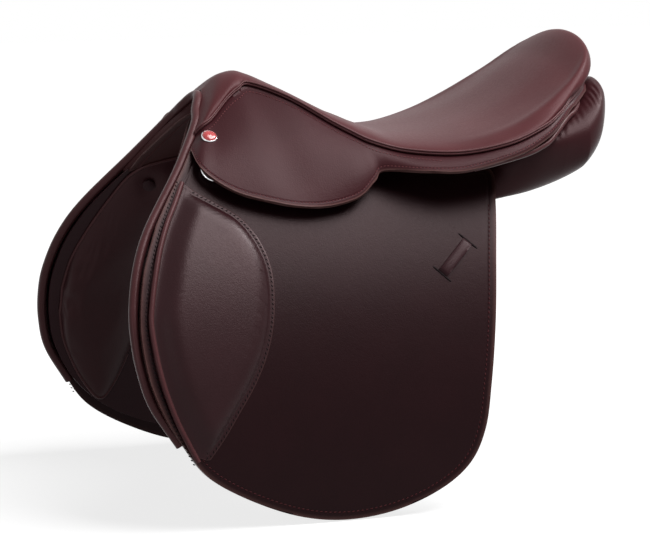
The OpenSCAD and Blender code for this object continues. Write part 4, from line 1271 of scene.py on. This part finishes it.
def makePanel(p):
    marks = ("along", "down", "inside")
    bm, spots = doubledGrid(p["columns"], p["rows"], *marks)
    layers = [bm.verts.layers.float[name] for name in marks]
    for vert, (a, b, inner) in spots.items():
        u, v = panelRow(p, a), (1 - math.cos(math.pi * (1 - b))) / 2
        for layer, value in zip(layers, (a, v, inner)):
            vert[layer] = value
        vert.co = panelAt(p, u, v, 1 if inner else 0) * mm
    bmesh.ops.recalc_face_normals(bm, faces=bm.faces)
    obj = addPiece("panelNear", bm, panelLeather, 180)
    mesh = obj.data
    values = [[d.value for d in mesh.attributes[name].data] for name in marks]
    spots = [(panelRow(p, a), v, inner) for a, v, inner in zip(*values)]
    held = []
    for i, (u, v, inner) in enumerate(spots):
        rim = min(v, 1 - v) < p["held"]["rim"] or min(u, lastPanelRow - u) < p["held"]["end"]
        if rim or (inner < 0.5 and u < p["held"]["outside"]):
            held.append(i)
    swell(obj, p, held)
    arcs = [0.0]
    for i in range(1, p["columns"] + 1):
        ends = [panelAt(p, panelRow(p, k / p["columns"]), 0, 0) for k in (i - 1, i)]
        arcs.append(arcs[-1] + (ends[1] - ends[0]).length)
    normals = [v.normal.copy() for v in mesh.vertices]
    for v, n, a, (u, down, inner) in zip(mesh.vertices, normals, values[0], spots):
        arc = arcs[round(a * p["columns"])]
        v.co -= n * panelMarks(p, u, down, inner > 0.5, arc) * mm
    for name in marks:
        mesh.attributes.remove(mesh.attributes[name])
    smoothed(obj)
    return obj


def panelPiping(p):
    foot, front, top = p["pipingSteps"]
    rim = [(p["pipingFoot"] * (1 - i / foot), 1) for i in range(foot)]
    rim += [(0, 1 - i / front) for i in range(front)]
    rim += [(p["pipingTo"] * i / top, 0) for i in range(top + 1)]
    line = evenly([panelAt(p, u, v, 0.5) for u, v in rim], p["pipingStep"])
    return tube("panelPipingNear", [q * mm for q in line], p["piping"] * mm, weltLeatherAndSheen)


panelNear, panelOff = dressedPair(makePanel(panel), "saddle", "panel_hide", "panel")
dressedPair(panelPiping(panel), "saddle", "welt_hide")
print("panels made")

# Studs: plain domes with a bright rim
stud = {
    "station": 1.55, "share": 0.26, "lift": 0.5, "radius": 8.0, "rim": 1.0, "height": 3.4, "wall": 0.2,
    "rings": 9, "steps": 32,
    "rimShape": [(1, 0), (1, 0.3), (0.7, 0.42), (0.25, 0.36), (0, 0.15), (0, 0), (1, 0)],
}


def makeStud(p):
    s = p["station"] / lastStation
    at = skirtAt(s, p["share"])
    up = (at - skirtAt(s, p["share"], 1)).normalized()
    turned = up.to_track_quat("Z", "Y").to_matrix().to_4x4()
    place = Matrix.Translation((at + up * p["lift"]) * mm) @ turned
    r, h, wall = p["radius"], p["height"], p["wall"]
    inside = r - p["rim"]
    turns = [math.pi / 2 * i / p["rings"] for i in range(p["rings"] + 1)]
    dome = [(inside * math.sin(q), h * (wall + (1 - wall) * math.cos(q))) for q in turns]
    dome += [(inside, 0), (0, 0)]
    rim = [(r - p["rim"] * a, h * b) for a, b in p["rimShape"]]
    parts = (("studDomeNear", dome, studRed, ["skirt_studs"]), ("studRimNear", rim, chrome, []))
    for name, profile, finish, replaced in parts:
        bm = bmesh.new()
        verts = [bm.verts.new((x * mm, 0, z * mm)) for x, z in profile]
        edges = [bm.edges.new(pair) for pair in zip(verts, verts[1:])]
        bmesh.ops.spin(
            bm, geom=verts + edges, cent=(0, 0, 0), axis=(0, 0, 1), angle=math.tau, steps=p["steps"],
            use_merge=True,
        )
        bmesh.ops.remove_doubles(bm, verts=bm.verts, dist=1e-6)
        bmesh.ops.recalc_face_normals(bm, faces=bm.faces)
        bmesh.ops.transform(bm, matrix=place, verts=bm.verts)
        near = addPiece(name, bm, finish, 50)
        for piece in (near, offSide(near)):
            dressed(piece, "saddle", "stud_enamel", *replaced)


makeStud(stud)
print("studs made")

# CAD metal and wood keep their shape and take a finish
finishes = {
    "tree_head": treeWood, "tree_rail": treeWood, "head_plate": plateSteel, "gullet_plate": plateSteel,
    "tree_rivets": barSteel, "bar_rivets": barSteel,
}
for side in ("near", "off"):
    finishes.update({
        "stirrup_bar_" + side: barSteel, "bar_catch_" + side: barSteel, "catch_pin_" + side: barSteel,
        "dee_clip_" + side: chrome, "dee_ring_" + side: chrome,
    })
for name, finish in finishes.items():
    mesh = nodes[name].data
    mesh.materials.clear()
    mesh.materials.append(finish)
print("metal and wood finished")

# Floor, light and background
studio = {
    "floor": -0.3005, "floorHalf": 6.0, "floorTone": 0.25,
    "nearGlow": 0.80, "clear": (0.45, 0.95), "sky": 0.06,
    "lamps": {
        "keySoftbox": ((0.60, -0.90, 1.46), (-0.05, 0, 0), (1.2, 0.9), 40.0),
        "topSoftbox": ((0.25, -0.40, 1.90), (0, 0, 0.05), (0.9, 0.5), 16.0),
        "rearSoftbox": ((1.35, -0.20, 1.45), (0.15, 0, 0.05), (0.5, 0.5), 24.0),
        "sideStrip": ((-1.9, -1.3, 0.5), (-0.15, 0, -0.1), (0.3, 1.2), 5.0),
    },
}


def seenAsBackground(tree):
    path = tree.nodes.new("ShaderNodeLightPath")
    seen = mathNode(tree, "MAXIMUM", path.outputs["Is Camera Ray"], path.outputs["Is Glossy Ray"])
    return mathNode(tree, "MAXIMUM", seen, path.outputs["Is Transmission Ray"])


# white to the camera, a little less around the object so that its shadow shows
def makeFloor(p):
    bm = bmesh.new()
    bmesh.ops.create_grid(bm, x_segments=2, y_segments=2, size=p["floorHalf"])
    bmesh.ops.translate(bm, vec=(0, 0, p["floor"]), verts=bm.verts)
    m, t, shader, co = material("paleFloor")
    shader.inputs["Base Color"].default_value = (p["floorTone"], p["floorTone"], p["floorTone"], 1)
    shader.inputs["Roughness"].default_value = 0.9
    shader.inputs["Specular IOR Level"].default_value = 0.0
    far = t.nodes.new("ShaderNodeVectorMath")
    far.operation = "LENGTH"
    t.links.new(co, far.inputs[0])
    ramp = t.nodes.new("ShaderNodeMapRange")
    ramp.interpolation_type = "SMOOTHSTEP"
    for label, value in zip(("From Min", "From Max", "To Min", "To Max"), (*p["clear"], p["nearGlow"], 1.0)):
        ramp.inputs[label].default_value = value
    t.links.new(far.outputs["Value"], ramp.inputs["Value"])
    glow = t.nodes.new("ShaderNodeEmission")
    t.links.new(ramp.outputs[0], glow.inputs["Strength"])
    add = t.nodes.new("ShaderNodeAddShader")
    mix = t.nodes.new("ShaderNodeMixShader")
    t.links.new(shader.outputs[0], add.inputs[0])
    t.links.new(glow.outputs[0], add.inputs[1])
    t.links.new(seenAsBackground(t), mix.inputs[0])
    t.links.new(shader.outputs[0], mix.inputs[1])
    t.links.new(add.outputs[0], mix.inputs[2])
    t.links.new(mix.outputs[0], t.nodes["Material Output"].inputs["Surface"])
    addPiece("floor", bm, m)


def makeWorld(p):
    world = bpy.data.worlds.new("studio")
    scene.world = world
    world.use_nodes = True
    t = world.node_tree
    sky = t.nodes["Background"]
    white = t.nodes.new("ShaderNodeBackground")
    mix = t.nodes.new("ShaderNodeMixShader")
    sky.inputs["Color"].default_value = white.inputs["Color"].default_value = (1, 1, 1, 1)
    sky.inputs["Strength"].default_value = p["sky"]
    t.links.new(seenAsBackground(t), mix.inputs[0])
    t.links.new(sky.outputs[0], mix.inputs[1])
    t.links.new(white.outputs[0], mix.inputs[2])
    t.links.new(mix.outputs[0], t.nodes["World Output"].inputs["Surface"])


def makeLamps(p):
    for name, (at, aim, size, power) in p["lamps"].items():
        data = bpy.data.lights.new(name, "AREA")
        data.shape = "RECTANGLE"
        data.size, data.size_y = size
        data.energy = power
        lamp = bpy.data.objects.new(name, data)
        scene.collection.objects.link(lamp)
        lamp.location = at
        lamp.rotation_euler = (Vector(aim) - Vector(at)).to_track_quat("-Z", "Y").to_euler()


makeFloor(studio)
makeWorld(studio)
makeLamps(studio)
scene.view_settings.view_transform = "Standard"
print("studio lit")
